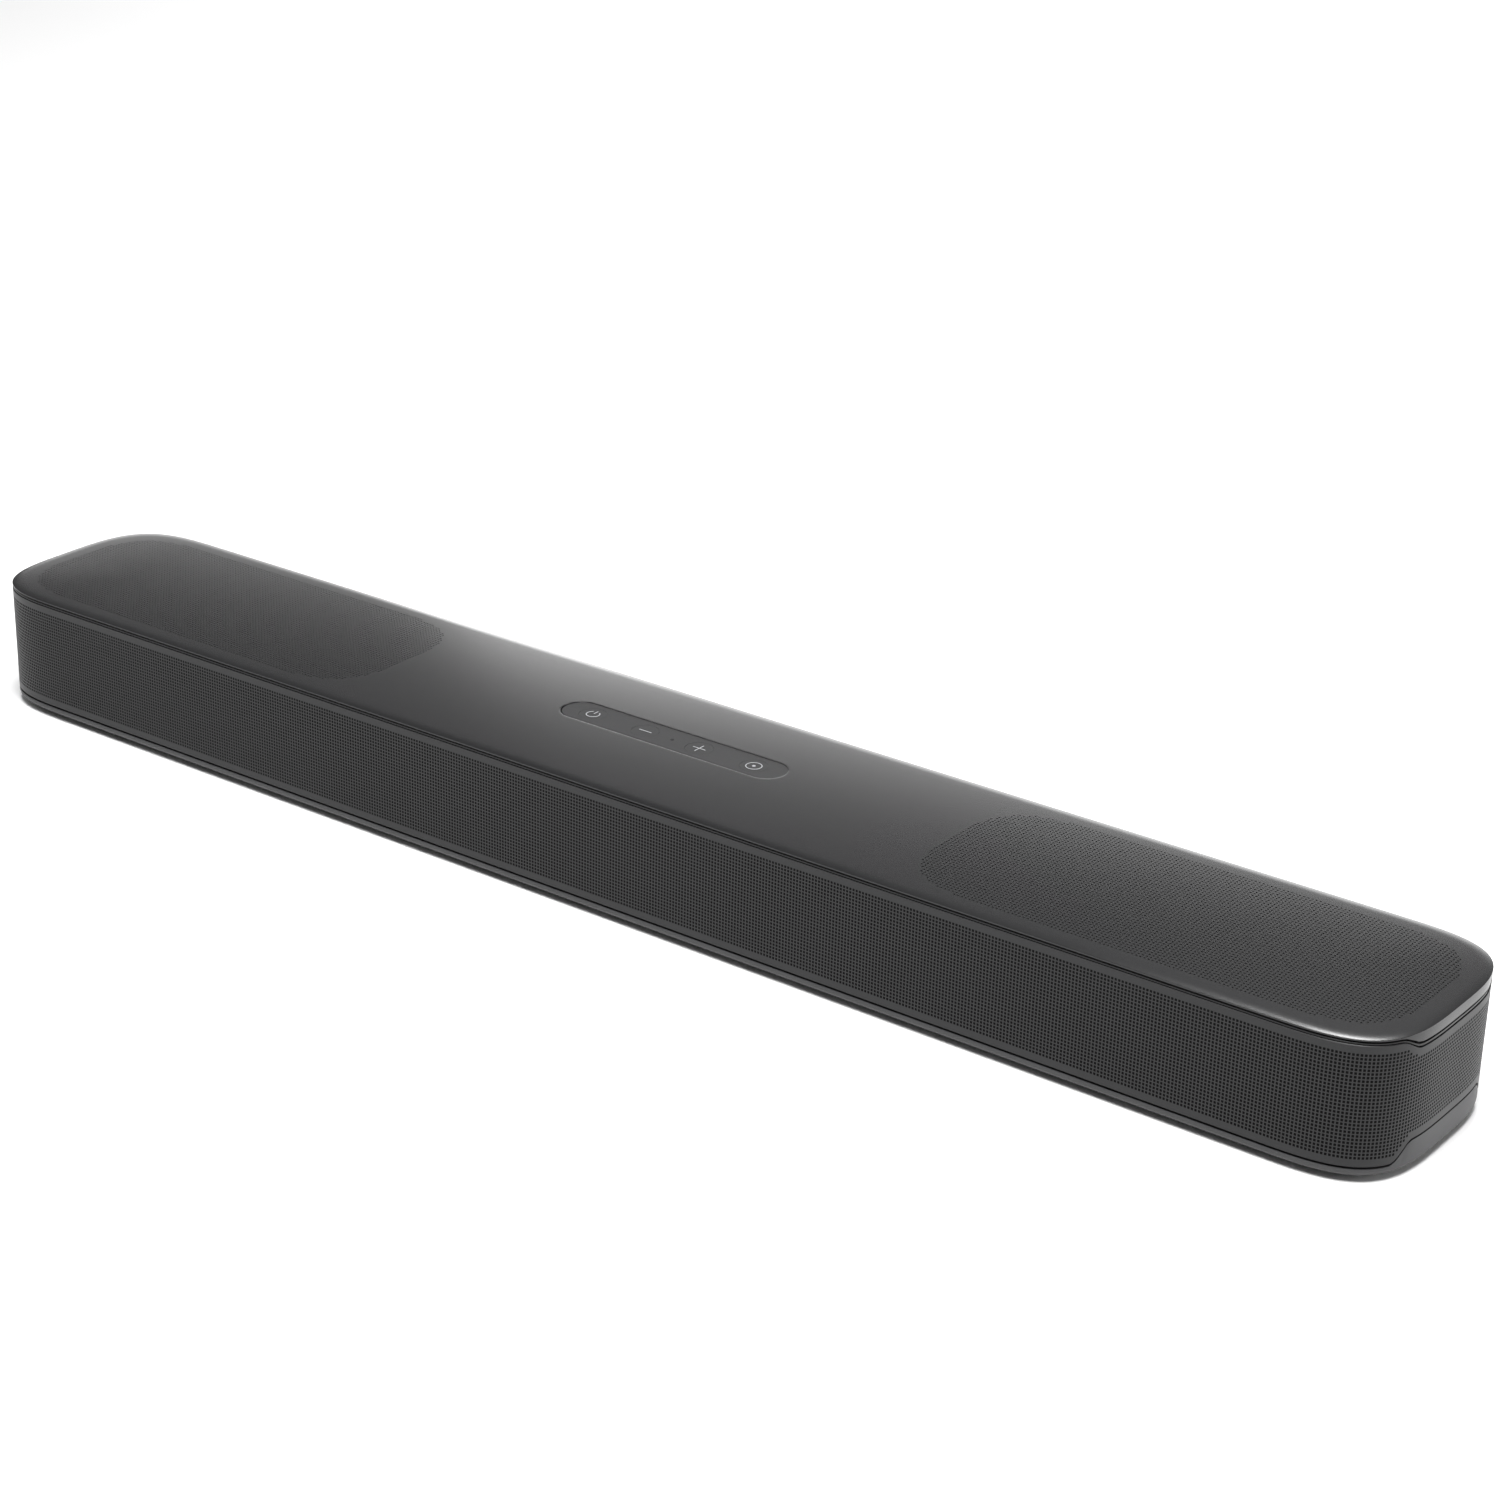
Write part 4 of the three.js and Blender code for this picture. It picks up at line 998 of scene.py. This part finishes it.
def draw_source(bm, centre):
    """A ring with a round dot in its middle."""
    arc(bm, centre, SOURCE_RADIUS, 0, 2 * math.pi, 56)
    bar(bm, centre, SOURCE_DOT, SOURCE_DOT - MICRON)  # all but round


build_key_mat()
for key in KEYS:
    build_key(key)
for key, draw in zip(KEYS, (draw_power, draw_minus, draw_plus, draw_source)):
    build_icon(key, draw)


def build_status_dot():
    bm = bmesh.new()
    radius, rise, depth = 0.75 * MM, 0.03 * MM, 1 * MM
    centre = middle_of("status_light")
    loop = circle_loop(bm, centre, radius, STRIP_TOP + rise, 32)
    cap(bm, loop)
    cap(bm, lifted(bm, loop, centre, 0, STRIP_TOP - depth))
    finished(bm, "status_dot", [smoked_acrylic], "casing", ["status_light"])


build_status_dot()


# ------------------------------------------------------------------ feet
def build_foot(spot):
    """A rubber pad with a soft lower edge, which goes a little way into the bottom case."""
    bm = bmesh.new()
    soft, sunk = 0.6 * MM, 0.3 * MM
    low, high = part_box(f"foot_{spot}")
    centre = middle_of(f"foot_{spot}")
    length, width = high.x - low.x, high.y - low.y
    loop = stadium_loop(bm, centre, length - 2 * soft, width - 2 * soft, low.z, 48)
    cap(bm, loop)
    turns = quarter_turn(4)
    for before, turn in zip(turns, turns[1:]):
        grow = soft * (math.sin(turn) - math.sin(before))
        loop = lifted(bm, loop, centre, grow, low.z + soft * (1 - math.cos(turn)))
    cap(bm, lifted(bm, loop, centre, 0, FOOT_TOP + sunk))
    finished(bm, f"rubber_foot_{spot}", [foot_rubber], "casing", [f"foot_{spot}"])


for spot in ("front_left", "front_right", "rear_left", "rear_right"):
    build_foot(spot)


# ------------------------------------------------------------------ floor, light and camera
LIGHT_AIM = Vector((0, 0, 0.03))


def build_floor():
    bm = bmesh.new()
    bmesh.ops.create_grid(bm, x_segments=1, y_segments=1, size=6.0)
    mesh = bpy.data.meshes.new("floor")
    bm.to_mesh(mesh)
    bm.free()
    floor = bpy.data.objects.new("floor", mesh)
    material = bpy.data.materials.new("pale_paper_sweep")
    material.use_nodes = True
    shader = material.node_tree.nodes["Principled BSDF"]
    shader.inputs["Base Color"].default_value = linear("#f4f4f4")
    shader.inputs["Roughness"].default_value = 0.9
    mesh.materials.append(material)
    bpy.context.scene.collection.objects.link(floor)


def softbox(name, at, size, energy):
    """A rectangular area light that looks at the soundbar's middle."""
    light = bpy.data.lights.new(name, "AREA")
    light.shape = "RECTANGLE"
    light.size, light.size_y = size
    light.energy = energy
    lamp = bpy.data.objects.new(name, light)
    lamp.location = at
    lamp.rotation_mode = "QUATERNION"
    lamp.rotation_quaternion = (LIGHT_AIM - Vector(at)).to_track_quat("-Z", "Y")
    bpy.context.scene.collection.objects.link(lamp)


def build_world():
    world = bpy.data.worlds.new("studio")
    bpy.context.scene.world = world
    world.use_nodes = True
    back = world.node_tree.nodes["Background"]
    back.inputs["Color"].default_value = linear("#ffffff")
    back.inputs["Strength"].default_value = 0.16


def build_camera():
    """A camera before the right end, above the soundbar, with a long lens."""
    azimuth, elevation, roll = math.radians(37.674), math.radians(24.564), math.radians(-0.835)
    distance = 1.38035
    aim = Vector((0, 0, 0.029))
    level = Vector((math.sin(azimuth), -math.cos(azimuth), 0))
    back = level * math.cos(elevation) + Vector((0, 0, math.sin(elevation)))
    right = Vector((math.cos(azimuth), math.sin(azimuth), 0))
    up = back.cross(right)
    rolled_right = right * math.cos(roll) - up * math.sin(roll)
    rolled_up = right * math.sin(roll) + up * math.cos(roll)
    turn = Matrix((rolled_right, rolled_up, back)).transposed()
    data = bpy.data.cameras.new("camera")
    data.sensor_width = 36
    data.lens = 80.36095
    data.shift_x = 0.058248
    data.shift_y = 0.038626
    data.clip_start = 0.05
    data.clip_end = 50
    camera = bpy.data.objects.new("camera", data)
    camera.matrix_world = Matrix.Translation(back * distance + aim) @ turn.to_4x4()
    bpy.context.scene.collection.objects.link(camera)
    bpy.context.scene.camera = camera


build_floor()
softbox("low_back_softbox", at=(-0.85, 2.25, 0.5), size=(1.9, 0.8), energy=15)
softbox("left_back_softbox", at=(-2.35, 2.25, 0.5), size=(1.1, 0.8), energy=6)
softbox("right_softbox", at=(1.9, 1.2, 0.35), size=(1.4, 0.7), energy=16)
softbox("overhead_softbox", at=(0.35, -0.45, 2.2), size=(1.1, 1.1), energy=85)
softbox("front_left_softbox", at=(-1.3, -0.95, 1.7), size=(0.8, 0.8), energy=3)
softbox("edge_softbox", at=(-0.2, 1.1, 1.53), size=(0.35, 0.35), energy=10)
build_world()
build_camera()

bpy.context.scene.view_settings.view_transform = "Standard"
